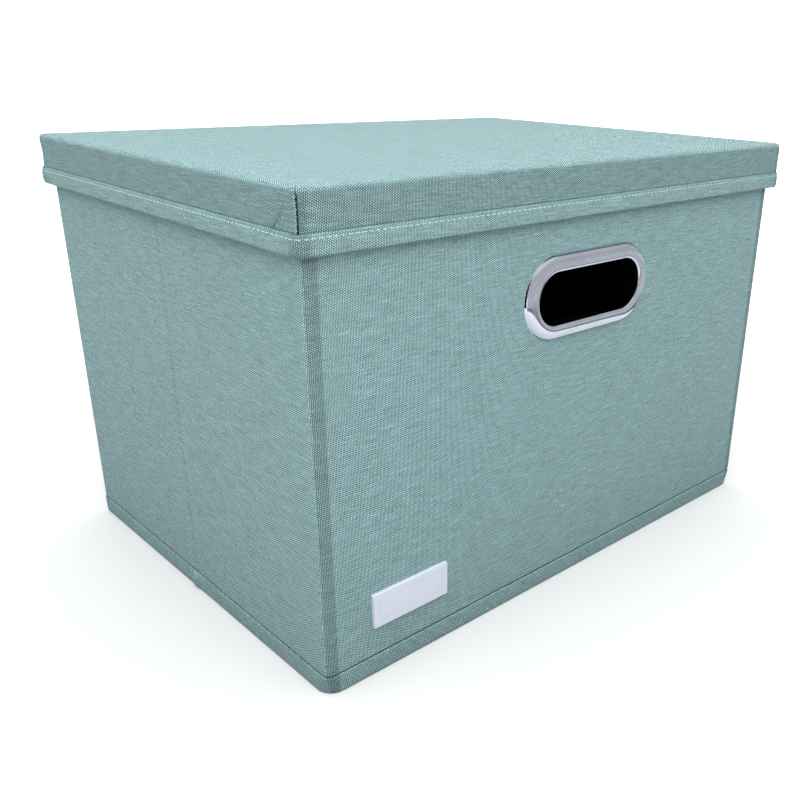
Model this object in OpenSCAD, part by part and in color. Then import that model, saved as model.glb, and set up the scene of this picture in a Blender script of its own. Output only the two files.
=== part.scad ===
// Cloth-covered storage box for files, with a lift-off lid and ends that fold in.
// Origin: middle of the footprint, on the surface the box stands on.
// +X runs along the front face, the front faces -Y, +Z is up. Millimetres.

/* [Box] */
// Length of the box along the front, over the cloth
box_w = 380; // [340:1:460]
// Depth of the box from front to back, over the cloth
box_d = 280; // [240:1:320]
// Height of the walls without the lid
box_h = 255.5; // [220:0.5:320]
// Radius of the soft upright corners, measured on the cloth
corner_r = 3.6; // [1.6:0.1:3.8]
// Distance from the end of a long wall to its board, which leaves the corner soft
corner_soft = 4; // [3.8:0.1:8]

/* [Wall layers] */
// Thickness of the grey board in the walls
wall_board_t = 2.6; // [2:0.1:3.5]
// Thickness of the linen cover with its glue
cover_t = 0.8; // [0.8:0.05:1.1]
// Thickness of the black lining
lining_t = 0.6; // [0.4:0.05:0.9]

/* [Bindings] */
// Height of the tape round the bottom edge
foot_tape_h = 11; // [6:0.5:18]
// Thickness of the tape round the bottom edge
foot_tape_t = 0.6; // [0.4:0.05:0.8]
// Height of the tape over the top edge
rim_tape_h = 12; // [6:0.5:18]
// Thickness of the tape over the top edge
rim_tape_t = 0.5; // [0.3:0.05:0.7]

/* [Base] */
// Thickness of the creased card in the bottom
base_card_t = 2.4; // [1.5:0.1:3.5]

/* [Lid] */
// Radius of the lid's edges and corners, measured on the cloth
lid_edge_r = 2.4; // [1:0.1:2.6]
// Height of the lid's skirt, from its hem to the top
lid_skirt_h = 27.8; // [20:0.1:60]
// Thickness of the boards in the lid
lid_board_t = 2; // [1.5:0.1:3]
// Thickness of the lining in the lid
lid_lining_t = 0.4; // [0.3:0.05:0.6]
// Gap between the top tape of the box and the lid's lining, all round
lid_play = 0.4; // [0.3:0.1:1.2]
// Gap between the top of the walls and the lid's lining
lid_rest_gap = 0.3; // [0.1:0.05:1]
// Height of the hem tape on the skirt
hem_h = 9.3; // [6:0.1:15]
// Thickness of the hem tape
hem_t = 0.8; // [0.4:0.1:1.2]

/* [Handle] */
// Distance from the top of the wall to the middle of the handle
handle_drop = 70; // [62:1:90]
// Half of the straight stretch of the handle's opening
handle_half = 29; // [20:1:40]
// Radius of the round ends of the opening
handle_r = 15; // [11:0.5:18]
// Width of the chrome rim round the opening
rim_w = 9.5; // [6:0.5:12]
// How far the rim's crown stands out from the cloth
rim_rise = 3.6; // [2:0.1:4]
// Wall of the sleeve that passes through the board
sleeve_t = 1.2; // [0.8:0.1:1.6]
// Width of the retaining ring inside, past the sleeve
ring_w = 6.3; // [4:0.1:8]
// Thickness of the retaining ring inside
ring_t = 1.6; // [1:0.1:2.5]

/* [Name plate] */
// Width of the bare plate
plate_w = 51; // [30:1:70]
// Height of the bare plate
plate_h = 20.4; // [14:0.2:30]
// Thickness of the plate
plate_t = 2; // [1.4:0.1:3]
// Distance from the left edge of the front to the plate
plate_left = 29.3; // [15:0.1:60]
// Distance from the floor to the plate's lower edge
plate_up = 29.2; // [15:0.1:60]
// Width of the bevel round the plate
plate_bevel = 0.9; // [0.4:0.1:1.2]
// Distance from the plate's edge to its sunk line
line_inset = 3; // [2:0.1:5]
// Width of the sunk line
line_w = 0.6; // [0.3:0.1:1]
// Depth of the sunk line
line_d = 0.3; // [0.1:0.05:0.6]

/* [Running gaps] */
// Gap between pieces that move past each other
gap = 0.3; // [0.3:0.05:0.6]

/* [Hidden] */
wall_t = cover_t + wall_board_t + lining_t;
lid_wall_t = cover_t + lid_board_t + lid_lining_t;
// from the cloth of the wall to the cloth of the lid's skirt
overhang = rim_tape_t + lid_play + lid_wall_t;
lid_top = box_h + lid_rest_gap + lid_wall_t;
lid_foot = lid_top - lid_skirt_h;
handle_z = box_h - handle_drop;
base_t = cover_t + base_card_t + lining_t;
// the wall's layers stand on the foot tape and end under the rim tape
layer_z0 = foot_tape_t;
layer_z1 = box_h - rim_tape_t;
// the end walls: each is two leaves that meet in a crease at mid-depth
leaf_near = gap / 2;
leaf_far = box_d / 2 - wall_t - gap;
// the inner leg of the rim tape stays clear of the wall round the corner
rim_clear = wall_t + rim_tape_t + gap;
// fold axes: corners lie inside the linings, creases outside the cloth
corner_axis_x = box_w / 2 - wall_t - rim_tape_t - gap;
corner_axis_y = box_d / 2 - wall_t - rim_tape_t - gap;
crease_axis_x = box_w / 2 + max(foot_tape_t, rim_tape_t) + gap;
echo(corner_axis_x=corner_axis_x, corner_axis_y=corner_axis_y, crease_axis_x=crease_axis_x,
     lid_top=lid_top, lid_foot=lid_foot, handle_z=handle_z, wall_t=wall_t, base_t=base_t,
     overhang=overhang);

linen = [0.52, 0.63, 0.61];
linen_tape = [0.45, 0.56, 0.55];
grey_board = [0.62, 0.58, 0.52];
black_cloth = [0.06, 0.06, 0.07];
chrome = [0.78, 0.79, 0.8];
plate_white = [0.9, 0.89, 0.92];
over = 1;
$fn = 48;

// ---- shapes -------------------------------------------------------------

// slot outline: a straight stretch with two round ends
module slot_outline(half, r) {
  square([2 * half, 2 * r], center = true);
  for (side = [-1, 1])
    translate([side * half, 0]) circle(r);
}

// plan of a wall's outer skin: y = 0 is the outer face, whose two corners are round
module wall_plan(w, t, r) {
  intersection() {
    translate([-w / 2, 0]) square([w, t]);
    union() {
      translate([-w / 2 + r, 0]) square([w - 2 * r, t]);
      translate([-w / 2, r]) square([w, t]);
      for (side = [-1, 1])
        translate([side * (w / 2 - r), r]) circle(r);
    }
  }
}

// plan rectangle with four round corners
module round_plan(w, d, r) {
  square([w - 2 * r, d], center = true);
  square([w, d - 2 * r], center = true);
  for (sx = [-1, 1], sy = [-1, 1])
    translate([sx * (w / 2 - r), sy * (d / 2 - r)]) circle(r);
}

// elevation with two round upper corners, standing on y = 0
module arch_plan(w, h, r) {
  translate([-w / 2, 0]) square([w, h - r]);
  translate([-w / 2 + r, 0]) square([w - 2 * r, h]);
  for (side = [-1, 1])
    translate([side * (w / 2 - r), h - r]) circle(r);
}

// block whose upright edges and top edges are all round
module soft_block(w, d, h, r) {
  intersection() {
    linear_extrude(h) round_plan(w, d, r);
    rotate([90, 0, 0]) linear_extrude(d, center = true) arch_plan(w, h, r);
    rotate([90, 0, 90]) linear_extrude(w, center = true) arch_plan(d, h, r);
  }
}

// upright sheet from x0 to x1, between the wall depths y0 and y1
module sheet(x0, x1, y0, y1, z0 = layer_z0, z1 = layer_z1) {
  translate([x0, y0, z0]) cube([x1 - x0, y1 - y0, z1 - z0]);
}

// sweeps a profile, drawn as radius and height, round a slot outline
module slot_sweep(half) {
  for (side = [-1, 1]) {
    translate([side * half, 0, 0]) rotate([0, 0, -90 * side]) rotate_extrude(angle = 180) children();
    mirror([0, side < 0 ? 1 : 0, 0]) rotate([90, 0, 90])
      linear_extrude(2 * half, center = true) children();
  }
}

// cut for the handle's sleeve, right through a wall
module handle_cut() {
  translate([0, wall_t / 2, handle_z]) rotate([90, 0, 0])
    linear_extrude(wall_t + 2 * over, center = true) slot_outline(handle_half, handle_r + sleeve_t);
}

// ---- placing ------------------------------------------------------------

// a wall is drawn with its outer face on y = 0, looking out along -y
module at_front() { translate([0, -box_d / 2, 0]) children(); }
module at_back() { translate([0, box_d / 2, 0]) rotate([0, 0, 180]) children(); }
module at_left() { translate([-box_w / 2, 0, 0]) rotate([0, 0, -90]) children(); }
module at_right() { translate([box_w / 2, 0, 0]) rotate([0, 0, 90]) children(); }
// a leaf is drawn on the +x half of its wall; the other half is its mirror image
module other_half() { mirror([1, 0, 0]) children(); }

// ---- long walls: front and back ------------------------------------------

module long_board() {
  color(grey_board) difference() {
    sheet(-box_w / 2 + corner_soft, box_w / 2 - corner_soft, cover_t, cover_t + wall_board_t);
    handle_cut();
  }
}

module long_cover() {
  color(linen) difference() {
    translate([0, 0, layer_z0]) linear_extrude(layer_z1 - layer_z0) difference() {
      wall_plan(box_w, wall_t, corner_r);
      translate([0, cover_t]) wall_plan(box_w - 2 * cover_t, wall_t, corner_r - cover_t);
    }
    handle_cut();
  }
}

module long_lining() {
  color(black_cloth) difference() {
    sheet(-box_w / 2 + cover_t, box_w / 2 - cover_t, wall_t - lining_t, wall_t);
    handle_cut();
  }
}

// tape on the outer face and the two ends of a long wall, t thick and h high
module long_tape_leg(t, h) {
  linear_extrude(h) difference() {
    translate([0, -t]) wall_plan(box_w + 2 * t, wall_t + t, corner_r + t);
    wall_plan(box_w, wall_t + over, corner_r);
  }
}

// the part of the tape that lies across the wall's edge
module long_tape_edge(t) {
  linear_extrude(t) translate([0, -t]) wall_plan(box_w + 2 * t, wall_t + t, corner_r + t);
}

module long_foot_tape() {
  color(linen_tape) {
    long_tape_leg(foot_tape_t, foot_tape_h);
    long_tape_edge(foot_tape_t);
  }
}

module long_rim_tape() {
  color(linen_tape) {
    translate([0, 0, box_h - rim_tape_h]) long_tape_leg(rim_tape_t, rim_tape_h);
    translate([0, 0, box_h - rim_tape_t]) long_tape_edge(rim_tape_t);
    sheet(-box_w / 2 + rim_clear, box_w / 2 - rim_clear, wall_t, wall_t + rim_tape_t,
          box_h - rim_tape_h, box_h);
  }
}

// ---- end walls: two leaves each -------------------------------------------

module leaf_board() {
  color(grey_board) sheet(leaf_near, leaf_far, cover_t, cover_t + wall_board_t);
}

module leaf_cover() {
  color(linen) sheet(leaf_near, leaf_far, 0, cover_t);
}

module leaf_lining() {
  color(black_cloth) sheet(leaf_near, leaf_far, wall_t - lining_t, wall_t);
}

module leaf_foot_tape() {
  color(linen_tape) {
    sheet(leaf_near, leaf_far, -foot_tape_t, 0, 0, foot_tape_h);
    sheet(leaf_near, leaf_far, 0, wall_t, 0, foot_tape_t);
  }
}

module leaf_rim_tape() {
  color(linen_tape) {
    sheet(leaf_near, leaf_far, -rim_tape_t, 0, box_h - rim_tape_h, box_h);
    sheet(leaf_near, leaf_far, 0, wall_t, box_h - rim_tape_t, box_h);
    sheet(leaf_near, box_d / 2 - rim_clear, wall_t, wall_t + rim_tape_t, box_h - rim_tape_h, box_h);
  }
}

// ---- handle ---------------------------------------------------------------

// radius of the arc that crowns the rim
function crown_r(w, h) = (w * w / 4 + h * h) / (2 * h);

module handle_rim() {
  r = crown_r(rim_w, rim_rise);
  color(chrome) translate([0, 0, handle_z]) rotate([90, 0, 0]) slot_sweep(handle_half) {
    union() {
      intersection() {
        translate([handle_r + rim_w / 2, rim_rise - r]) circle(r);
        translate([handle_r, 0]) square([rim_w, rim_rise]);
      }
      translate([handle_r, -wall_t - ring_t]) square([sleeve_t, wall_t + ring_t + over / 4]);
    }
  }
}

module handle_ring() {
  color(chrome) translate([0, wall_t + ring_t, handle_z]) rotate([90, 0, 0])
    linear_extrude(ring_t) difference() {
      slot_outline(handle_half, handle_r + sleeve_t + ring_w);
      slot_outline(handle_half, handle_r + sleeve_t);
    }
}

// ---- name plate -------------------------------------------------------------

// section of the plate: base on y = 0, face at y = -plate_t, bevelled on both sides
module plate_section(w) {
  polygon([
    [-w / 2, 0], [w / 2, 0], [w / 2, plate_bevel - plate_t], [w / 2 - plate_bevel, -plate_t],
    [-w / 2 + plate_bevel, -plate_t], [-w / 2, plate_bevel - plate_t]
  ]);
}

// rectangle outline, inset from the plate's edge
module plate_rectangle(inset) {
  square([plate_w - 2 * inset, plate_h - 2 * inset], center = true);
}

module plate() {
  color(plate_white)
  translate([-box_w / 2 + plate_left + plate_w / 2, 0, plate_up + plate_h / 2]) difference() {
    intersection() {
      linear_extrude(plate_h, center = true) plate_section(plate_w);
      rotate([0, -90, 0]) linear_extrude(plate_w, center = true) plate_section(plate_h);
    }
    translate([0, line_d - plate_t, 0]) rotate([90, 0, 0]) linear_extrude(line_d + over) difference() {
      plate_rectangle(line_inset);
      plate_rectangle(line_inset + line_w);
    }
  }
}

// ---- base ---------------------------------------------------------------------

// layer of the base between the walls: it meets the front wall and clears the others
module base_layer(z0, t) {
  x = box_w / 2 - wall_t - gap;
  y0 = -box_d / 2 + wall_t;
  y1 = box_d / 2 - wall_t - gap;
  translate([-x, y0, z0]) cube([2 * x, y1 - y0, t]);
}

module base_cloth() { color(linen) base_layer(0, cover_t); }
module base_card() { color(grey_board) base_layer(cover_t, base_card_t); }
module base_lining() { color(black_cloth) base_layer(cover_t + base_card_t, lining_t); }

// ---- lid ------------------------------------------------------------------------

lid_w = box_w + 2 * overhang;
lid_d = box_d + 2 * overhang;
board_z0 = lid_foot + hem_t;
board_z1 = lid_top - cover_t - lid_board_t;

module lid_top_board() {
  w = lid_w - 2 * cover_t;
  d = lid_d - 2 * cover_t;
  color(grey_board) translate([-w / 2, -d / 2, board_z1]) cube([w, d, lid_board_t]);
}

// skirt board with its outer face at y = 0, drawn for a side that is w long
module skirt_board(w) {
  color(grey_board) translate([-w / 2, 0, board_z0]) cube([w, lid_board_t, board_z1 - board_z0]);
}

module lid_long_board() {
  translate([0, -lid_d / 2 + cover_t, 0]) skirt_board(lid_w - 2 * cover_t);
}

module lid_end_board() {
  translate([-lid_w / 2 + cover_t, 0, 0]) rotate([0, 0, -90])
    skirt_board(lid_d - 2 * cover_t - 2 * lid_board_t);
}

module lid_cover() {
  w = lid_w - 2 * cover_t;
  d = lid_d - 2 * cover_t;
  color(linen) difference() {
    translate([0, 0, board_z0]) soft_block(lid_w, lid_d, lid_top - board_z0, lid_edge_r);
    translate([-w / 2, -d / 2, board_z0 - over]) cube([w, d, lid_top - cover_t - board_z0 + over]);
  }
}

module lid_lining() {
  w = lid_w - 2 * cover_t - 2 * lid_board_t;
  d = lid_d - 2 * cover_t - 2 * lid_board_t;
  inner_w = w - 2 * lid_lining_t;
  inner_d = d - 2 * lid_lining_t;
  color(black_cloth) difference() {
    translate([-w / 2, -d / 2, board_z0]) cube([w, d, board_z1 - board_z0]);
    translate([-inner_w / 2, -inner_d / 2, board_z0 - over])
      cube([inner_w, inner_d, board_z1 - lid_lining_t - board_z0 + over]);
  }
}

module lid_hem_tape() {
  w = lid_w + 2 * hem_t;
  d = lid_d + 2 * hem_t;
  color(linen_tape) translate([0, 0, lid_foot]) {
    linear_extrude(hem_h) difference() {
      round_plan(w, d, lid_edge_r + hem_t);
      round_plan(lid_w, lid_d, lid_edge_r);
    }
    linear_extrude(hem_t) difference() {
      round_plan(w, d, lid_edge_r + hem_t);
      square([lid_w - 2 * lid_wall_t, lid_d - 2 * lid_wall_t], center = true);
    }
  }
}

// ---- assembly ---------------------------------------------------------------------

at_front() long_board();  // front_board
at_front() long_cover();  // front_cover
at_front() long_lining();  // front_lining
at_front() long_foot_tape();  // front_foot_tape
at_front() long_rim_tape();  // front_rim_tape
at_front() handle_rim();  // front_handle_rim
at_front() handle_ring();  // front_handle_ring
at_front() plate();  // name_plate

at_back() long_board();  // back_board
at_back() long_cover();  // back_cover
at_back() long_lining();  // back_lining
at_back() long_foot_tape();  // back_foot_tape
at_back() long_rim_tape();  // back_rim_tape
at_back() handle_rim();  // back_handle_rim
at_back() handle_ring();  // back_handle_ring

at_left() leaf_board();  // left_front_board
at_left() leaf_cover();  // left_front_cover
at_left() leaf_lining();  // left_front_lining
at_left() leaf_foot_tape();  // left_front_foot_tape
at_left() leaf_rim_tape();  // left_front_rim_tape

at_left() other_half() leaf_board();  // left_rear_board
at_left() other_half() leaf_cover();  // left_rear_cover
at_left() other_half() leaf_lining();  // left_rear_lining
at_left() other_half() leaf_foot_tape();  // left_rear_foot_tape
at_left() other_half() leaf_rim_tape();  // left_rear_rim_tape

at_right() other_half() leaf_board();  // right_front_board
at_right() other_half() leaf_cover();  // right_front_cover
at_right() other_half() leaf_lining();  // right_front_lining
at_right() other_half() leaf_foot_tape();  // right_front_foot_tape
at_right() other_half() leaf_rim_tape();  // right_front_rim_tape

at_right() leaf_board();  // right_rear_board
at_right() leaf_cover();  // right_rear_cover
at_right() leaf_lining();  // right_rear_lining
at_right() leaf_foot_tape();  // right_rear_foot_tape
at_right() leaf_rim_tape();  // right_rear_rim_tape

base_cloth();
base_card();
base_lining();

lid_top_board();
lid_long_board();  // lid_front_board
rotate([0, 0, 180]) lid_long_board();  // lid_back_board
lid_end_board();  // lid_left_board
rotate([0, 0, 180]) lid_end_board();  // lid_right_board
lid_cover();
lid_lining();
lid_hem_tape();
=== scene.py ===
"""Looks of a cloth-covered file box with a lift-off lid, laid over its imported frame.

The walls are walked as one chain of upright cuts, counter-clockwise as seen from above. Every layer of the
walls is a band that is swept along a stretch of that chain, so the weave runs on from piece to piece. All
sizes are in metres, in the frame of the model.
"""

import logging
import math
from dataclasses import dataclass, field
from enum import Enum
from typing import Callable, Optional, Sequence, Union

import bmesh
import bpy
from mathutils import Matrix, Vector, noise

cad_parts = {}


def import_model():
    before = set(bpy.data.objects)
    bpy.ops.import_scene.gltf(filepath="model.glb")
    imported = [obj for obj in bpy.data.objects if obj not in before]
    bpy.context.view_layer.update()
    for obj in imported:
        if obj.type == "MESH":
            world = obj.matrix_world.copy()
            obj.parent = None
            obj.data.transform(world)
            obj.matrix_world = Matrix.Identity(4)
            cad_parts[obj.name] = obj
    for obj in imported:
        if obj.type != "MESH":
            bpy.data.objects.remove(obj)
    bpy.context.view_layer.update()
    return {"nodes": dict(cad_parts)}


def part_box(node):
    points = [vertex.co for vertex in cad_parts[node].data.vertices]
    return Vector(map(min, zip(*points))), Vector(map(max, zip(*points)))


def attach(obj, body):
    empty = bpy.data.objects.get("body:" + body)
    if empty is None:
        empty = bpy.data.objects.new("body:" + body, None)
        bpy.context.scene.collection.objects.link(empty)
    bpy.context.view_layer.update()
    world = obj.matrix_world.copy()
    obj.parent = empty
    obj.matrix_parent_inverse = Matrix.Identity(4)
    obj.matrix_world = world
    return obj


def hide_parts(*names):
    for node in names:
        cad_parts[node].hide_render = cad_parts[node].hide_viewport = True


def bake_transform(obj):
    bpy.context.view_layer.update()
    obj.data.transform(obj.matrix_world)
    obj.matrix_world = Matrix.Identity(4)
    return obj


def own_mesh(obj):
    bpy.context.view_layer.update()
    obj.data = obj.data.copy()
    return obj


LOG = logging.getLogger("file_box")
MM = 0.001
CRISP_DEG = 38.0
ROUNDING = 1e-7
FLOOR_DROP = 0.2 * MM
LONG_WALLS = ("front", "back")
Place2 = tuple[float, float]
Colour = tuple[float, float, float]
Swell = Callable[[float, float], float]
Face = Callable[[float, float], Vector]
Shade = Callable[[int, int], float]
Socket = bpy.types.NodeSocket
Number = Union[float, Socket]


# ---- sizes ---------------------------------------------------------------------------------------------


@dataclass(frozen=True)
class BoxSizes:
    """Sizes of the box as the frame gives them."""

    half_w: float
    half_d: float
    wall_t: float
    cover_t: float
    lining_t: float
    layer_z0: float
    layer_z1: float
    height: float
    foot_h: float
    foot_t: float
    rim_h: float
    rim_t: float
    corner_gap_from: float
    corner_gap_to: float
    crease_gap: float

    @classmethod
    def from_frame(cls) -> "BoxSizes":
        """Read the sizes of the walls and their tapes from the boxes of the frame's nodes."""
        cover_lo, cover_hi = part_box("front_cover")
        lining_lo, lining_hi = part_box("front_lining")
        foot_lo, foot_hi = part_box("front_foot_tape")
        rim_lo, rim_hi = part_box("front_rim_tape")
        leaf_lo, leaf_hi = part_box("left_front_cover")
        return cls(
            half_w=cover_hi.x,
            half_d=-cover_lo.y,
            wall_t=lining_hi.y - cover_lo.y,
            cover_t=leaf_hi.x - leaf_lo.x,
            lining_t=lining_hi.y - lining_lo.y,
            layer_z0=cover_lo.z,
            layer_z1=cover_hi.z,
            height=rim_hi.z,
            foot_h=foot_hi.z,
            foot_t=cover_lo.y - foot_lo.y,
            rim_h=rim_hi.z - rim_lo.z,
            rim_t=cover_lo.y - rim_lo.y,
            corner_gap_from=-cover_hi.y,
            corner_gap_to=-leaf_lo.y,
            crease_gap=-leaf_hi.y,
        )


def smooth_step(t: float) -> float:
    """Ease from 0 to 1 as t goes from 0 to 1."""
    t = min(max(t, 0.0), 1.0)
    return t * t * (3 - 2 * t)


def ripple(x: float, y: float, size: float, seed: float) -> float:
    """Soft noise from about -1 to 1 at a place on the cloth, by the size of its swells and its pattern."""
    return noise.noise(Vector((x / size, y / size, seed)))


def swells(x: float, y: float, *layers: tuple[float, float, float]) -> float:
    """Sum of soft noises at a place on the cloth, each given as height, size and seed."""
    return sum(height * ripple(x, y, size, seed) for height, size, seed in layers)


def hump(off: float, width: float) -> float:
    """Soft bell of height 1, at a distance off its middle."""
    return math.exp(-((off / width) ** 2))


def half_wave(share: float) -> float:
    """Rise from 0 to 1 at a share of a half, and back to 0 at a share of 1."""
    return math.sin(math.pi * min(max(share, 0.0), 1.0))


# ---- meshes --------------------------------------------------------------------------------------------


def put_in_scene(name: str, data: bpy.types.ID) -> bpy.types.Object:
    """Make an object of a mesh, a lamp or a camera, at the origin."""
    made = bpy.data.objects.new(name, data)
    bpy.context.scene.collection.objects.link(made)
    return made


@dataclass
class MeshParts:
    """Points and faces of one piece, with the cloth coordinates of every face corner and the painted shade
    of every point.
    """

    points: list[Vector] = field(default_factory=list)
    faces: list[tuple[int, ...]] = field(default_factory=list)
    cloth: list[list[Place2]] = field(default_factory=list)
    shade: list[float] = field(default_factory=list)

    @classmethod
    def of_rings(cls, rings: Sequence[Sequence[Vector]], shade: Optional[Shade]) -> "MeshParts":
        """Start with the points of some rings, and the painted shade of each."""
        parts = cls()
        for i, ring in enumerate(rings):
            parts.points.extend(ring)
            if shade:
                parts.shade.extend(shade(i, j) for j in range(len(ring)))
        return parts

    def add_face(self, corners: Sequence[int], cloth: Sequence[Place2]) -> None:
        """Add a face with a cloth coordinate at each of its corners."""
        self.faces.append(tuple(corners))
        self.cloth.append(list(cloth))

    def build(self, name: str, crisp: float = CRISP_DEG) -> bpy.types.Object:
        """Make the object, with faces outwards and edges crisp from an angle in degrees."""
        mesh = bpy.data.meshes.new(name)
        mesh.from_pydata([tuple(p) for p in self.points], [], self.faces)
        layer = mesh.uv_layers.new(name="cloth")
        flat = [value for corners in self.cloth for pair in corners for value in pair]
        layer.data.foreach_set("uv", flat)
        # The shade attribute is painted shade, which darkens the cloth's colour.
        if self.shade:
            mesh.attributes.new("shade", "FLOAT", "POINT").data.foreach_set("value", self.shade)
        work = bmesh.new()
        work.from_mesh(mesh)
        bmesh.ops.recalc_face_normals(work, faces=work.faces)
        if work.calc_volume(signed=True) < 0:
            bmesh.ops.reverse_faces(work, faces=work.faces)
        work.to_mesh(mesh)
        work.free()
        mesh.shade_smooth()
        mesh.set_sharp_from_angle(angle=math.radians(crisp))
        return put_in_scene(name, mesh)


def swept(
    name: str,
    sections: Sequence[Sequence[Vector]],
    runs: Sequence[float],
    lengths: Sequence[float],
    closed_path: bool = False,
    crisp: float = CRISP_DEG,
    shade: Optional[Shade] = None,
) -> bpy.types.Object:
    """Sweep a closed section along a path.

    Args:
        name: Name of the new object.
        sections: The closed section at each stop of the path.
        runs: Cloth coordinate along the path, one a stop and one more where the path is closed.
        lengths: Cloth coordinate round the section, one a point and one more.
        closed_path: True where the last stop joins the first.
        crisp: Angle in degrees from which an edge stays crisp.
        shade: How much painted shade darkens the cloth at a stop and a point of the section.

    Returns:
        The closed shell.
    """
    parts = MeshParts.of_rings(sections, shade)
    around, stops = len(sections[0]), len(sections)
    for i in range(stops if closed_path else stops - 1):
        k = (i + 1) % stops
        for j in range(around):
            m = (j + 1) % around
            corners = (i * around + j, k * around + j, k * around + m, i * around + m)
            marks = ((i, j), (i + 1, j), (i + 1, j + 1), (i, j + 1))
            parts.add_face(corners, [(runs[a], lengths[b]) for a, b in marks])
    if not closed_path:
        for i, shift in ((0, 0.0), (stops - 1, 2 * MM)):
            ring = [i * around + j for j in range(around)]
            parts.add_face(ring, [(runs[i] + shift, lengths[j]) for j in range(around)])
    return parts.build(name, crisp)


def lofted(
    name: str,
    rings: Sequence[Sequence[Vector]],
    cloth: Callable[[int, int, int, int], Place2] = lambda i, j, n, k: (0.0, 0.0),
    crisp: float = CRISP_DEG,
    shade: Optional[Shade] = None,
) -> bpy.types.Object:
    """Join rings of points one after the other, and close the first and the last.

    Args:
        name: Name of the new object.
        rings: Rings with the same number of points.
        cloth: Cloth coordinate for a ring, a point, and the ring and the point that its face starts from.
        crisp: Angle in degrees from which an edge stays crisp.
        shade: How much painted shade darkens the cloth at a ring and a point.

    Returns:
        The closed shell.
    """
    parts = MeshParts.of_rings(rings, shade)
    around = len(rings[0])
    for i in range(len(rings) - 1):
        for j in range(around):
            m = (j + 1) % around
            marks = ((i, j), (i, m), (i + 1, m), (i + 1, j))
            parts.add_face([a * around + b for a, b in marks], [cloth(a, b, i, j) for a, b in marks])
    for i in (0, len(rings) - 1):
        parts.add_face([i * around + j for j in range(around)], [cloth(i, j, i, j) for j in range(around)])
    return parts.build(name, crisp)


def section_lengths(points: Sequence[Place2], start: float) -> list[float]:
    """Distance walked round a closed section, one value a point and one more back at the first."""
    lengths = [start]
    for j, (x, z) in enumerate(points):
        nx, nz = points[(j + 1) % len(points)]
        lengths.append(lengths[-1] + math.hypot(nx - x, nz - z))
    return lengths


def walked_lengths(marks: Sequence[Vector], start: float) -> list[float]:
    """Distance walked along a row of places, one value a place."""
    lengths = [start]
    for a, b in zip(marks, marks[1:]):
        lengths.append(lengths[-1] + (b - a).length)
    return lengths


def even_steps(start: float, end: float, count: int) -> list[float]:
    """Values at even steps from the start to the end, with both of them."""
    return [start + (end - start) * k / count for k in range(count + 1)]


def round_rectangle(w: float, h: float, r: float, steps: int) -> list[Place2]:
    """Outline of a rectangle with round corners of some chords, about the origin, counter-clockwise."""
    outline = []
    for turn, (sx, sy) in enumerate(((1, -1), (1, 1), (-1, 1), (-1, -1))):
        for k in range(steps + 1):
            angle = math.radians(-90 + 90 * turn + 90 * k / steps)
            x, y = sx * (w / 2 - r), sy * (h / 2 - r)
            outline.append((x + r * math.cos(angle), y + r * math.sin(angle)))
    return outline


def with_modifiers(target: bpy.types.Object) -> bpy.types.Mesh:
    """Mesh of an object as its modifiers leave it, which are then dropped."""
    graph = bpy.context.evaluated_depsgraph_get()
    mesh = bpy.data.meshes.new_from_object(target.evaluated_get(graph))
    target.modifiers.clear()
    return mesh


def cut_out(target: bpy.types.Object, cutter: bpy.types.Object) -> None:
    """Cut one closed shell out of another and drop the cutter."""
    modifier = target.modifiers.new("cut", "BOOLEAN")
    modifier.operation = "DIFFERENCE"
    modifier.solver = "EXACT"
    modifier.object = cutter
    target.data = with_modifiers(target)
    target.data.shade_smooth()
    target.data.set_sharp_from_angle(angle=math.radians(CRISP_DEG))
    bpy.data.objects.remove(cutter, do_unlink=True)


# ---- node trees ----------------------------------------------------------------------------------------


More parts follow.
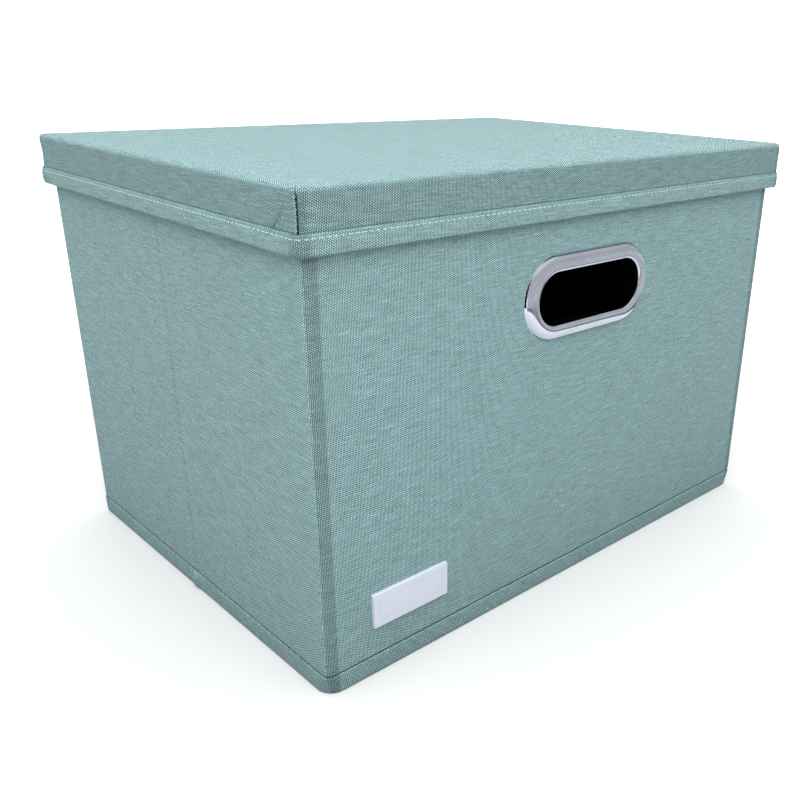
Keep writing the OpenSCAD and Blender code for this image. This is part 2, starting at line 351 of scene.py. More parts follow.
class Graph:
    """Short calls that build one node tree."""

    def __init__(self, tree: bpy.types.NodeTree) -> None:
        """Start on the given tree."""
        self.tree = tree

    def node(self, kind: str, **settings: object) -> bpy.types.Node:
        """Add a node of a kind and set the named properties on it."""
        made = self.tree.nodes.new(kind)
        for name, value in settings.items():
            setattr(made, name, value)
        return made

    def feed(self, socket: Socket, value: object) -> None:
        """Link a socket to an input, or write a plain value on it."""
        if isinstance(value, Socket):
            self.tree.links.new(value, socket)
        else:
            socket.default_value = value

    def fed(self, kind: str, *values: object, **settings: object) -> Socket:
        """Add a node, feed its inputs in their order and return its first output."""
        made = self.node(kind, **settings)
        for k, value in enumerate(values):
            self.feed(made.inputs[k], value)
        return made.outputs[0]

    def feed_all(self, node: bpy.types.Node, values: dict[str, object]) -> bpy.types.Node:
        """Feed a node's inputs by their names."""
        for name, value in values.items():
            self.feed(node.inputs[name], value)
        return node

    def math(self, operation: str, *values: Number) -> Socket:
        """Add a Math node on sockets or numbers."""
        return self.fed("ShaderNodeMath", *values, operation=operation)

    def times(self, a: Number, b: Number) -> Socket:
        """Multiply two numbers."""
        return self.math("MULTIPLY", a, b)

    def plus(self, a: Number, b: Number) -> Socket:
        """Add two numbers."""
        return self.math("ADD", a, b)

    def minus(self, a: Number, b: Number) -> Socket:
        """Subtract the second number from the first."""
        return self.math("SUBTRACT", a, b)

    def line(self, value: Number, slope: Number, start: Number) -> Socket:
        """Multiply a value by the slope and add the start."""
        return self.math("MULTIPLY_ADD", value, slope, start)

    def vector(self, x: Number, y: Number, z: Number = 0.0) -> Socket:
        """Join three numbers into a vector."""
        return self.fed("ShaderNodeCombineXYZ", x, y, z)

    def parted(self, vector: Socket) -> Sequence[Socket]:
        """Part a vector into its three numbers."""
        made = self.node("ShaderNodeSeparateXYZ")
        self.feed(made.inputs[0], vector)
        return made.outputs

    def place(self, kind: str = "Object") -> Socket:
        """Place on the object, or the direction of the sky for the kind Generated."""
        return self.node("ShaderNodeTexCoord").outputs[kind]

    def stretched(self, vector: Socket, scale: Colour) -> Socket:
        """Scale a vector along each axis."""
        made = self.feed_all(self.node("ShaderNodeMapping"), {"Vector": vector, "Scale": scale})
        return made.outputs[0]

    def noise(self, vector: Socket, scale: float = 1.0, detail: float = 1.0) -> Socket:
        """Add a Noise Texture with a number of finer layers and return its factor."""
        made = self.node("ShaderNodeTexNoise")
        self.feed_all(made, {"Vector": vector, "Scale": scale, "Detail": detail})
        return made.outputs["Fac"]

    def spread(self, value: Socket, low: float, high: float, start: float = 0.0, end: float = 1.0) -> Socket:
        """Carry a value from the range low to high over to start to end, softly held at both."""
        kind = "ShaderNodeMapRange"
        return self.fed(kind, value, low, high, start, end, interpolation_type="SMOOTHSTEP")

    def blend(self, factor: Number, dark: object, light: object) -> Socket:
        """Mix two colours: the first where the factor is 0, the second where it is 1."""
        made = self.node("ShaderNodeMix", data_type="RGBA")
        self.feed(made.inputs["Factor"], factor)
        for name, colour in (("A", dark), ("B", light)):
            self.feed(made.inputs[name], colour if isinstance(colour, Socket) else (*colour, 1.0))
        return next(s for s in made.outputs if s.type == "RGBA")

    def bump(self, height: Socket, distance: float, strength: float) -> Socket:
        """Turn a height into a normal, with the real height of 1 and the share of it to keep."""
        made = self.node("ShaderNodeBump")
        self.feed_all(made, {"Height": height, "Distance": distance, "Strength": strength})
        return made.outputs[0]

    def output(self, kind: str, name: str, value: Socket) -> None:
        """End the tree with an output node."""
        self.feed_all(self.node(kind), {name: value})


def new_material(name: str) -> tuple[bpy.types.Material, Graph]:
    """Make a material with an empty tree, and a graph on it."""
    made = bpy.data.materials.new(name)
    made.use_nodes = True
    made.node_tree.nodes.clear()
    return made, Graph(made.node_tree)


class PlainWeave:
    """Shader group of a plain weave: upright and level yarns that pass over one another in turn.

    Lengths in it count yarns. It puts out Height from 0 to 1, Tone, which is 0.5 on average, and Streak,
    how far a level yarn strays from the cloth's own lightness, from -0.5 to 0.5.
    """

    NAME = "PlainWeave"
    OUTPUTS = ("Height", "Tone", "Streak")
    DRIFT = 0.5
    DRIFT_SCALES = (0.07, 0.045)
    UPRIGHT_NARROW = 2.15
    LEVEL_NARROW = 2.1
    LEVEL_HEIGHT = 0.91
    UNDER_HEIGHT = 0.3
    YARN_STEP = 7.31
    UPRIGHT_RUN = 0.13
    LEVEL_RUN = 0.08
    LEVEL_GAIN = 2.4
    YARN_SHARE = 0.74
    FLECK_SHARE = 0.26
    OVER_GAIN = 1.2
    STREAK_SCALES = (0.06, 0.9)

    @classmethod
    def group(cls) -> bpy.types.NodeTree:
        """Return the group, built on its first use."""
        return bpy.data.node_groups.get(cls.NAME) or cls._build()

    @classmethod
    def _build(cls) -> bpy.types.NodeTree:
        """Build the group."""
        tree = bpy.data.node_groups.new(cls.NAME, "ShaderNodeTree")
        tree.interface.new_socket("Vector", in_out="INPUT", socket_type="NodeSocketVector")
        for way, names in (("INPUT", ("Across", "Along", "Turn")), ("OUTPUT", cls.OUTPUTS)):
            for name in names:
                tree.interface.new_socket(name, in_out=way, socket_type="NodeSocketFloat")
        g = Graph(tree)
        given = g.node("NodeGroupInput").outputs
        turned = g.node("ShaderNodeVectorRotate", rotation_type="Z_AXIS")
        g.feed_all(turned, {"Vector": given["Vector"], "Angle": given["Turn"]})
        flat = g.parted(turned.outputs[0])
        x = g.math("DIVIDE", flat[0], given["Across"])
        y = g.math("DIVIDE", flat[1], given["Along"])
        more, less = cls.DRIFT_SCALES
        spot = g.vector(g.times(x, more), g.times(y, less))
        other = g.vector(g.times(x, less), g.times(y, more), 5.0)
        x = g.plus(x, cls._drift(g, spot))
        y = g.plus(y, cls._drift(g, other))
        column, row = g.math("FLOOR", x), g.math("FLOOR", y)
        upright = g.times(cls._crown(g, x, cls.UPRIGHT_NARROW), cls._arch(g, y, column))
        level = g.times(cls._crown(g, y, cls.LEVEL_NARROW), cls._arch(g, x, g.plus(row, 1.0)))
        level = g.times(level, cls.LEVEL_HEIGHT)
        over = g.math("GREATER_THAN", upright, level)
        fleck = g.node("ShaderNodeTexWhiteNoise", noise_dimensions="3D")
        g.feed(fleck.inputs["Vector"], g.vector(column, row, over))
        tone_up = g.noise(g.vector(g.times(column, cls.YARN_STEP), g.times(y, cls.UPRIGHT_RUN)))
        tone_level = g.noise(g.vector(g.times(x, cls.LEVEL_RUN), g.times(row, cls.YARN_STEP), 9.0))
        tone_level = g.line(tone_level, cls.LEVEL_GAIN, 0.5 - 0.5 * cls.LEVEL_GAIN)
        picked = g.line(over, g.minus(tone_up, tone_level), tone_level)
        tone = g.line(fleck.outputs["Value"], cls.FLECK_SHARE, g.times(picked, cls.YARN_SHARE))
        tone = g.plus(tone, g.line(over, cls.OVER_GAIN, -0.5 * cls.OVER_GAIN))
        wide, high = cls.STREAK_SCALES
        thick = g.noise(g.vector(g.times(x, wide), g.times(y, high), 4.0))
        streak = g.spread(thick, 0.3, 0.7, -0.5, 0.5)
        values = (g.math("MAXIMUM", upright, level), tone, streak)
        g.feed_all(g.node("NodeGroupOutput"), dict(zip(cls.OUTPUTS, values)))
        return tree

    @classmethod
    def _drift(cls, g: Graph, spot: Socket) -> Socket:
        """How far the yarns stray at a spot."""
        return g.times(g.minus(g.noise(spot, 1.0, 2.0), 0.5), cls.DRIFT)

    @staticmethod
    def _crown(g: Graph, across: Socket, narrow: float) -> Socket:
        """Round height across a row of yarns, from 0 to 1; over 2 narrow leaves gaps between them."""
        off = g.times(g.minus(g.math("FRACT", across), 0.5), narrow)
        return g.math("MAXIMUM", g.minus(1.0, g.times(off, off)), 0.0)

    @classmethod
    def _arch(cls, g: Graph, along: Socket, turn: Socket) -> Socket:
        """Height of a yarn that passes over one crossing and under the next, by the yarn's own number."""
        phase = g.times(g.minus(g.plus(along, turn), 0.5), math.pi)
        half = (1.0 - cls.UNDER_HEIGHT) / 2
        return g.line(g.math("COSINE", phase), half, cls.UNDER_HEIGHT + half)


# ---- finishes ------------------------------------------------------------------------------------------


def toned(colour: Colour, share: float) -> Colour:
    """Scale a colour, held at 1."""
    return tuple(min(1.0, share * c) for c in colour)


@dataclass(frozen=True)
class Finish:
    """A surface finish, made as one material on its first use."""

    name: str

    def material(self) -> bpy.types.Material:
        """Return the material, built on its first use."""
        found = bpy.data.materials.get(self.name)
        if found:
            return found
        made, g = new_material(self.name)
        shader = g.node("ShaderNodeBsdfPrincipled")
        g.output("ShaderNodeOutputMaterial", "Surface", shader.outputs[0])
        g.feed_all(shader, self.paint(g))
        return made

    def paint(self, g: Graph) -> dict[str, object]:
        """Inputs of the shader by their names; each finish has its own way."""
        raise NotImplementedError


@dataclass(frozen=True)
class WovenCloth(Finish):
    """Woven cloth, read from the piece's cloth coordinates and darkened by the painted shade of its shade
    attribute.
    """

    colour: Colour
    across: float = 0.855 * MM
    along: float = 0.54 * MM
    turn: float = 0.0
    contrast: float = 1.0
    relief: float = 0.2 * MM

    MIDDLE_HEIGHT = 0.68
    GAP_SHADE_GAIN = 1.25
    TONE_GAIN = 0.95
    BROAD_GAIN = 0.08
    STREAK_GAIN = 0.4
    DARKEST = 0.06
    LIGHTEST = 2.03
    PAINTED_SHADE_COLOUR = (0.004, 0.008, 0.009)

    def paint(self, g: Graph) -> dict[str, object]:
        """Colour, roughness and normal from the weave; the colour has painted shade in the weave's gaps and
        from the shade attribute.
        """
        cloth = g.node("ShaderNodeUVMap", uv_map="cloth").outputs[0]
        weave = g.node("ShaderNodeGroup")
        weave.node_tree = PlainWeave.group()
        sizes = {"Across": self.across, "Along": self.along, "Turn": self.turn}
        height, tone, streak = g.feed_all(weave, {"Vector": cloth, **sizes}).outputs
        tone = g.times(g.minus(tone, 0.5), self.TONE_GAIN * self.contrast)
        # Painted shade: the low places of the weave, the gaps between the yarns, are darker.
        depth = g.times(g.minus(height, self.MIDDLE_HEIGHT), self.GAP_SHADE_GAIN * self.contrast)
        broad = g.times(g.minus(g.noise(cloth, 28.0, 3.0), 0.5), self.BROAD_GAIN)
        lightness = g.plus(g.plus(g.plus(tone, depth), broad), 0.5)
        lightness = g.math("MINIMUM", g.math("MAXIMUM", lightness, 0.0), 1.0)
        lightness = g.times(lightness, g.line(streak, self.STREAK_GAIN * self.contrast, 1.0))
        woven = g.blend(lightness, toned(self.colour, self.DARKEST), toned(self.colour, self.LIGHTEST))
        # Painted shade: where the shade attribute is 1, the cloth turns near-black.
        shade = g.node("ShaderNodeAttribute", attribute_name="shade").outputs["Fac"]
        return {
            "Base Color": g.blend(shade, woven, self.PAINTED_SHADE_COLOUR),
            "Roughness": g.spread(height, 0.0, 1.0, 0.95, 0.78),
            "Normal": g.bump(height, self.relief, 0.8),
            "Sheen Weight": 0.08,
            "Sheen Roughness": 0.5,
            "Specular IOR Level": 0.25,
        }


@dataclass(frozen=True)
class FeltedLining(Finish):
    """Thin black non-woven lining."""

    colour: Colour = (0.012, 0.012, 0.014)

    def paint(self, g: Graph) -> dict[str, object]:
        """Colour and normal from fine fibres and pressed dots."""
        fibre = g.noise(g.place(), 900.0, 4.0)
        dots = g.node("ShaderNodeTexVoronoi")
        g.feed_all(dots, {"Vector": g.place(), "Scale": 420.0, "Randomness": 0.25})
        pressed = g.spread(dots.outputs["Distance"], 0.1, 0.42)
        height = g.plus(g.times(pressed, 0.6), g.times(fibre, 0.4))
        return {
            "Base Color": g.blend(g.spread(fibre, 0.3, 0.7), self.colour, toned(self.colour, 2.2)),
            "Roughness": g.spread(fibre, 0.2, 0.8, 0.72, 0.92),
            "Normal": g.bump(height, 0.12 * MM, 0.7),
            "Specular IOR Level": 0.3,
        }


@dataclass(frozen=True)
class GreyBoard(Finish):
    """Recycled grey board with flecks."""

    colour: Colour = (0.3, 0.275, 0.24)
    fleck: Colour = (0.12, 0.1, 0.09)

    def paint(self, g: Graph) -> dict[str, object]:
        """Colour and normal from pulp and flecks."""
        pulp = g.noise(g.place(), 160.0, 5.0)
        fleck = g.spread(g.noise(g.place(), 1300.0, 2.0), 0.62, 0.72)
        ground = g.blend(g.spread(pulp, 0.3, 0.7), toned(self.colour, 0.75), self.colour)
        return {
            "Base Color": g.blend(fleck, ground, self.fleck),
            "Roughness": g.spread(pulp, 0.2, 0.8, 0.85, 0.96),
            "Normal": g.bump(pulp, 0.15 * MM, 0.6),
        }


@dataclass(frozen=True)
class Chrome(Finish):
    """Bright plated metal with faint wiping marks."""

    colour: Colour = (0.57, 0.6, 0.68)

    def paint(self, g: Graph) -> dict[str, object]:
        """Colour, roughness and normal from faint marks."""
        smudge = g.noise(g.place(), 60.0, 3.0)
        hair = g.noise(g.stretched(g.place(), (60.0, 60.0, 900.0)), 1.0, 2.0)
        return {
            "Base Color": g.blend(g.spread(smudge, 0.4, 0.65), self.colour, toned(self.colour, 0.93)),
            "Roughness": g.plus(g.spread(smudge, 0.35, 0.7, 0.06, 0.13), g.times(hair, 0.04)),
            "Normal": g.bump(smudge, 0.02 * MM, 0.25),
            "Metallic": 1.0,
        }


@dataclass(frozen=True)
class MouldedPlate(Finish):
    """Satin white moulded plastic."""

    colour: Colour = (0.81, 0.86, 1.0)

    def paint(self, g: Graph) -> dict[str, object]:
        """Colour, roughness and normal from a fine moulded grain."""
        grain = g.noise(g.place(), 2200.0, 2.0)
        cloud = g.spread(g.noise(g.place(), 90.0, 2.0), 0.3, 0.7)
        return {
            "Base Color": g.blend(cloud, toned(self.colour, 0.98), self.colour),
            "Roughness": g.spread(grain, 0.3, 0.7, 0.32, 0.45),
            "Normal": g.bump(grain, 0.03 * MM, 0.4),
            "Coat Weight": 0.6,
            "Coat Roughness": 0.2,
        }


@dataclass(frozen=True)
class TwistedThread(Finish):
    """Sewing thread with its twist."""

    colour: Colour = (0.58, 0.9, 0.9)

    def paint(self, g: Graph) -> dict[str, object]:
        """Colour and normal from the twist."""
        wave = g.node("ShaderNodeTexWave", bands_direction="DIAGONAL")
        twist = g.feed_all(wave, {"Vector": g.place(), "Scale": 700.0}).outputs["Fac"]
        return {
            "Base Color": g.blend(twist, toned(self.colour, 0.7), self.colour),
            "Roughness": g.spread(twist, 0.0, 1.0, 0.9, 0.6),
            "Normal": g.bump(twist, 0.05 * MM, 0.5),
        }


BIAS_TAPE = WovenCloth(
    "linen_bias_tape",
    (0.265, 0.424, 0.434),
    across=0.85 * MM,
    along=0.6 * MM,
    turn=math.pi / 4,
    contrast=0.8,
    relief=0.15 * MM,
)


class Stock(Enum):
    """Finishes of the box's own materials, with their slots in the record."""

    LINEN = ("linen", WovenCloth("linen_cloth", (0.296, 0.468, 0.485)))
    TAPE = ("linen_tape", BIAS_TAPE)
    HEM = ("linen_tape", WovenCloth("linen_hem_tape", (0.294, 0.458, 0.471), contrast=0.95))
    LINING = ("black_lining", FeltedLining("felted_lining"))
    BOARD = ("grey_board", GreyBoard("grey_board_stock"))
    CHROME = ("chrome", Chrome("chrome_plating"))
    PLATE = ("plate", MouldedPlate("moulded_plate"))
    THREAD = ("linen_tape", TwistedThread("sewing_thread"))
    DARK_THREAD = ("linen_tape", TwistedThread("closing_thread", (0.3, 0.47, 0.48)))

    @property
    def slot(self) -> str:
        """Name of the record's material slot."""
        return self.value[0]

    @property
    def finish(self) -> Finish:
        """The finish itself."""
        return self.value[1]

    def put_on(self, piece: bpy.types.Object) -> None:
        """Make this the only finish of a piece."""
        piece.data.materials.clear()
        piece.data.materials.append(self.finish.material())


def dress(piece: bpy.types.Object, stock: Stock, *nodes: str) -> bpy.types.Object:
    """Give a piece its finish, say which nodes of the frame it stands for, and return it."""
    stock.put_on(piece)
    stock.slot
    if nodes:
        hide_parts(*nodes)
    facts = (piece.name, len(piece.data.polygons), stock.name.lower(), ", ".join(nodes) or "-")
    LOG.info("%s: %d faces, %s, stands for %s", *facts)
    return piece


# ---- the walls -----------------------------------------------------------------------------------------


class Side(Enum):
    """The two faces of a wall."""

    OUTER = "outer"
    INNER = "inner"


@dataclass(frozen=True)
class Rail:
    """A line round the wall: its face, its distance out of that face, its height."""

    side: Side
    out: float
    z: float
    swells: bool = False


def rails_on(side: Side, *places: Place2) -> list[Rail]:
    """Rails on one face, each given as distance out and height."""
    return [Rail(side, out, z) for out, z in places]


@dataclass(frozen=True)
class Cut:
    """One upright cut through the wall: how its outer and inner faces run there, and how much darker its
    outer cloth is, painted shade with the tighter ribs round a corner.
    """

    outer: Face
    inner: Face
    shade: float = 0.0

    def point(self, rail: Rail, extra: float = 0.0) -> Vector:
        """Place of a rail at this cut."""
        face = self.outer if rail.side is Side.OUTER else self.inner
        return face(rail.z, rail.out + extra)


def flat_face(foot: Vector, normal: Vector) -> Face:
    """Upright face over a foot, as a function of height and distance out."""
    return lambda z, out: foot + normal * out + Vector((0.0, 0.0, z))


@dataclass(frozen=True)
class Corner:
    """An upright corner of the box, owned by its long wall."""

    sizes: BoxSizes
    sign_x: int
    sign_y: int
    reach: float = 12.0 * MM
    arc_from: float = 2.8 * MM
    radius_top: float = 3.6 * MM
    radius_foot_front: float = 9.3 * MM
    radius_foot_back: float = 5.0 * MM
    soft_height: float = 14.0 * MM

    LONG_STOPS = (12.0, 10.0, 8.2, 7.2, 6.8, 6.4, 5.8, 5.2, 4.4, 3.8, 3.2, 2.8)
    ARC_STEPS = 9
    END_STOPS = (2.8, 3.2, 3.6)
    BEYOND_STOPS = (5.0, 6.5, 8.0, 10.0, 12.0)
    GAP_STEPS = 8
    # How much darker the outer cloth is at each cut round the corner: a band on the long wall's side of the
    # round, darker at its edges; painted shade together with the tighter ribs of the cloth there.
    SHADES = (0.0, 0.0, 0.0, 0.1, 0.42, *(0.3,) * 11, 0.36, 0.12)

    @property
    def axes(self) -> tuple[Vector, Vector, Vector]:
        """Foot of the sharp corner, and the ways along the long wall and along the end wall."""
        s = self.sizes
        foot = Vector((self.sign_x * s.half_w, self.sign_y * s.half_d, 0.0))
        return foot, Vector((-self.sign_x, 0.0, 0.0)), Vector((0.0, -self.sign_y, 0.0))

    def radius(self, z: float) -> float:
        """Radius of the outer face at a height: the foot is rounder, most of all at the front."""
        foot = self.radius_foot_front if self.sign_y < 0 else self.radius_foot_back
        return self.radius_top + (foot - self.radius_top) * (1.0 - smooth_step(z / self.soft_height))

    def _outer(self, on_long: bool, q: float, share: float) -> Face:
        """Make the outer face at one cut.

        Args:
            on_long: True on the long wall, False on the end wall.
            q: Distance from the corner along that wall.
            share: Share of the arc from the long wall, or a negative number off the arc.

        Returns:
            A function of height and distance out of the face.
        """
        corner, along, inwards = self.axes

        def place(z: float, out: float) -> Vector:
            """Place at a height and a distance out."""
            r = self.radius(z)
            first = math.asin(min(1.0, max(0.0, (r - self.arc_from) / r)))
            if share >= 0:
                angle = first + (math.pi / 2 - 2 * first) * share
            elif q < r:
                angle = math.asin((r - q) / r)
                angle = angle if on_long else math.pi / 2 - angle
            else:
                angle = 0.0 if on_long else math.pi / 2
            normal = -inwards * math.cos(angle) - along * math.sin(angle)
            if share >= 0 or q < r:
                foot = corner + (along + inwards) * r + normal * r
            else:
                foot = corner + (along if on_long else inwards) * q
            return foot + normal * out + Vector((0.0, 0.0, z))

        return place

    def _inner(self, on_long: bool, q: float) -> Face:
        """Make the inner face at a cut, at a distance from the outer corner along its wall."""
        t = self.sizes.wall_t
        corner, along, inwards = self.axes
        foot = corner + (along * q + inwards * t if on_long else inwards * q + along * t)
        normal = inwards if on_long else along
        return flat_face(foot, along + inwards if q <= t + ROUNDING else normal)

    def cuts(self, with_end_wall: bool = True) -> list[Cut]:
        """Cuts round the corner, from the long wall to the end wall or only to the gap before it."""
        s = self.sizes
        gap_from = s.half_d - s.corner_gap_from
        gap_to = s.half_d - s.corner_gap_to
        stops = [(True, q * MM, -1.0) for q in self.LONG_STOPS]
        stops += [(True, self.arc_from, k / self.ARC_STEPS) for k in range(1, self.ARC_STEPS)]
        stops += [(False, q * MM, -1.0) for q in self.END_STOPS]
        stops.append((False, gap_from, -1.0))
        shades = [*self.SHADES, *[0.0] * (len(stops) - len(self.SHADES))]
        outers = [self._outer(*stop) for stop in stops]
        walked = walked_lengths([outer(s.height / 2, 0.0) for outer in outers], 0.0)
        made = []
        for outer, way, shade in zip(outers, walked, shades):
            q = self.reach - (self.reach - gap_from) * way / walked[-1]
            made.append(Cut(outer, self._inner(way < walked[-1], q), shade))
        if not with_end_wall:
            return made
        beyond = even_steps(gap_from, gap_to, self.GAP_STEPS)[1:] + [q * MM for q in self.BEYOND_STOPS]
        return made + [Cut(self._outer(False, q, -1.0), self._inner(False, q)) for q in beyond]


@dataclass(frozen=True)
class Stretch:
    """A stretch of the walls: its cuts, and the body that carries it or the two bodies that its fold lies
    between.
    """

    name: str
    cuts: list[Cut]
    runs: list[float]
    body: str = ""
    bend: tuple[str, str] = ("", "")
    bend_from: float = 0.0
    bend_to: float = 0.0

    @property
    def bends(self) -> bool:
        """True where the cloth crosses a fold."""
        return not self.body

    def carry(self, piece: bpy.types.Object) -> None:
        """Let the stretch's body move a piece; a piece across a fold is left where it is, its place baked
        into its mesh.
        """
        if self.bends:
            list(self.bend)
            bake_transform(piece)
        else:
            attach(piece, self.body)


@dataclass
class Perimeter:
    """The walls as one chain of cuts, from the open corner at the right rear round to it again."""

    sizes: BoxSizes
    step: float = 4.0 * MM
    crease_reach: float = 8.0 * MM
    stretches: list[Stretch] = field(default_factory=list)

    CREASE_STOPS = (8.0, 6.5, 5.0, 4.0, 3.2, 2.5, 1.9, 1.4, 1.0, 0.7, 0.4)
    GAP_STEPS = 8
    OUTWARDS = {
        "front": Vector((0, -1, 0)),
        "back": Vector((0, 1, 0)),
        "left": Vector((-1, 0, 0)),
        "right": Vector((1, 0, 0)),
    }

    def __post_init__(self) -> None:
        """Walk round the box."""
        s = self.sizes
        reach = Corner(s, 1, 1).reach
        end_y = s.half_d - reach
        end_x = s.half_w - reach
        crease = self.crease_reach
        rear_right = Corner(s, 1, 1).cuts(with_end_wall=False)[::-1]
        self._add("back", rear_right + self._straight("back", end_x, -end_x)[1:], body="back_wall")
        self._add_corner("left_back_corner", Corner(s, -1, 1).cuts(), "back_wall", "left_rear_leaf", 1)
        self._add("left_rear", self._straight("left", end_y, crease), body="left_rear_leaf")
        self._add_crease("left")
        self._add("left_front", self._straight("left", -crease, -end_y), body="left_front_leaf")
        cuts = Corner(s, -1, -1).cuts()[::-1]
        self._add_corner("left_front_corner", cuts, "front_wall", "left_front_leaf", -1)
        self._add("front", self._straight("front", -end_x, end_x), body="front_wall")
        cuts = Corner(s, 1, -1).cuts()
        self._add_corner("right_front_corner", cuts, "front_wall", "right_front_leaf", -1)
        self._add("right_front", self._straight("right", -end_y, -crease), body="right_front_leaf")
        self._add_crease("right")
        self._add("right_rear", self._straight("right", crease, s.corner_gap_to), body="right_rear_leaf")

    def _cut(self, wall: str, at: float) -> Cut:
        """Make a cut through the flat part of a wall, at a place along it."""
        s = self.sizes
        outwards = self.OUTWARDS[wall]
        long_wall = wall in LONG_WALLS
        foot = outwards * (s.half_d if long_wall else s.half_w)
        foot = foot + (Vector((at, 0, 0)) if long_wall else Vector((0, at, 0)))

        def inner(z: float, out: float) -> Vector:
            """Place on the inner face."""
            return foot - outwards * (s.wall_t + out) + Vector((0.0, 0.0, z))

        return Cut(flat_face(foot, outwards), inner)

    def _straight(self, wall: str, start: float, end: float) -> list[Cut]:
        """Cuts at even steps along the flat part of a wall."""
        count = max(2, round(abs(end - start) / self.step))
        return [self._cut(wall, at) for at in even_steps(start, end, count)]

    def _add(self, name: str, cuts: list[Cut], **facts: object) -> None:
        """Add a stretch after the last one."""
        run = self.stretches[-1].runs[-1] if self.stretches else 0.0
        marks = [cut.outer(self.sizes.height / 2, 0.0) for cut in cuts]
        self.stretches.append(Stretch(name, cuts, walked_lengths(marks, run), **facts))

    def _add_corner(self, name: str, cuts: list[Cut], wall: str, leaf: str, sign: int) -> None:
        """Add a corner whose cloth bends between a long wall and a leaf."""
        s = self.sizes
        y0, y1 = sign * s.corner_gap_from, sign * s.corner_gap_to
        self._add(name, cuts, bend=(wall, leaf), bend_from=y0, bend_to=y1)

    def _add_crease(self, wall: str) -> None:
        """Add the crease in the middle of an end wall."""
        g = self.sizes.crease_gap
        half = [q * MM for q in self.CREASE_STOPS] + [g]
        middle = [g - 2 * g * k / self.GAP_STEPS for k in range(1, self.GAP_STEPS)]
        places = half + middle + [-q for q in half[::-1]]
        if wall == "right":
            places = [-p for p in places]
        leaves = (f"{wall}_front_leaf", f"{wall}_rear_leaf")
        cuts = [self._cut(wall, p) for p in places]
        self._add(f"{wall}_crease", cuts, bend=leaves, bend_from=-g, bend_to=g)


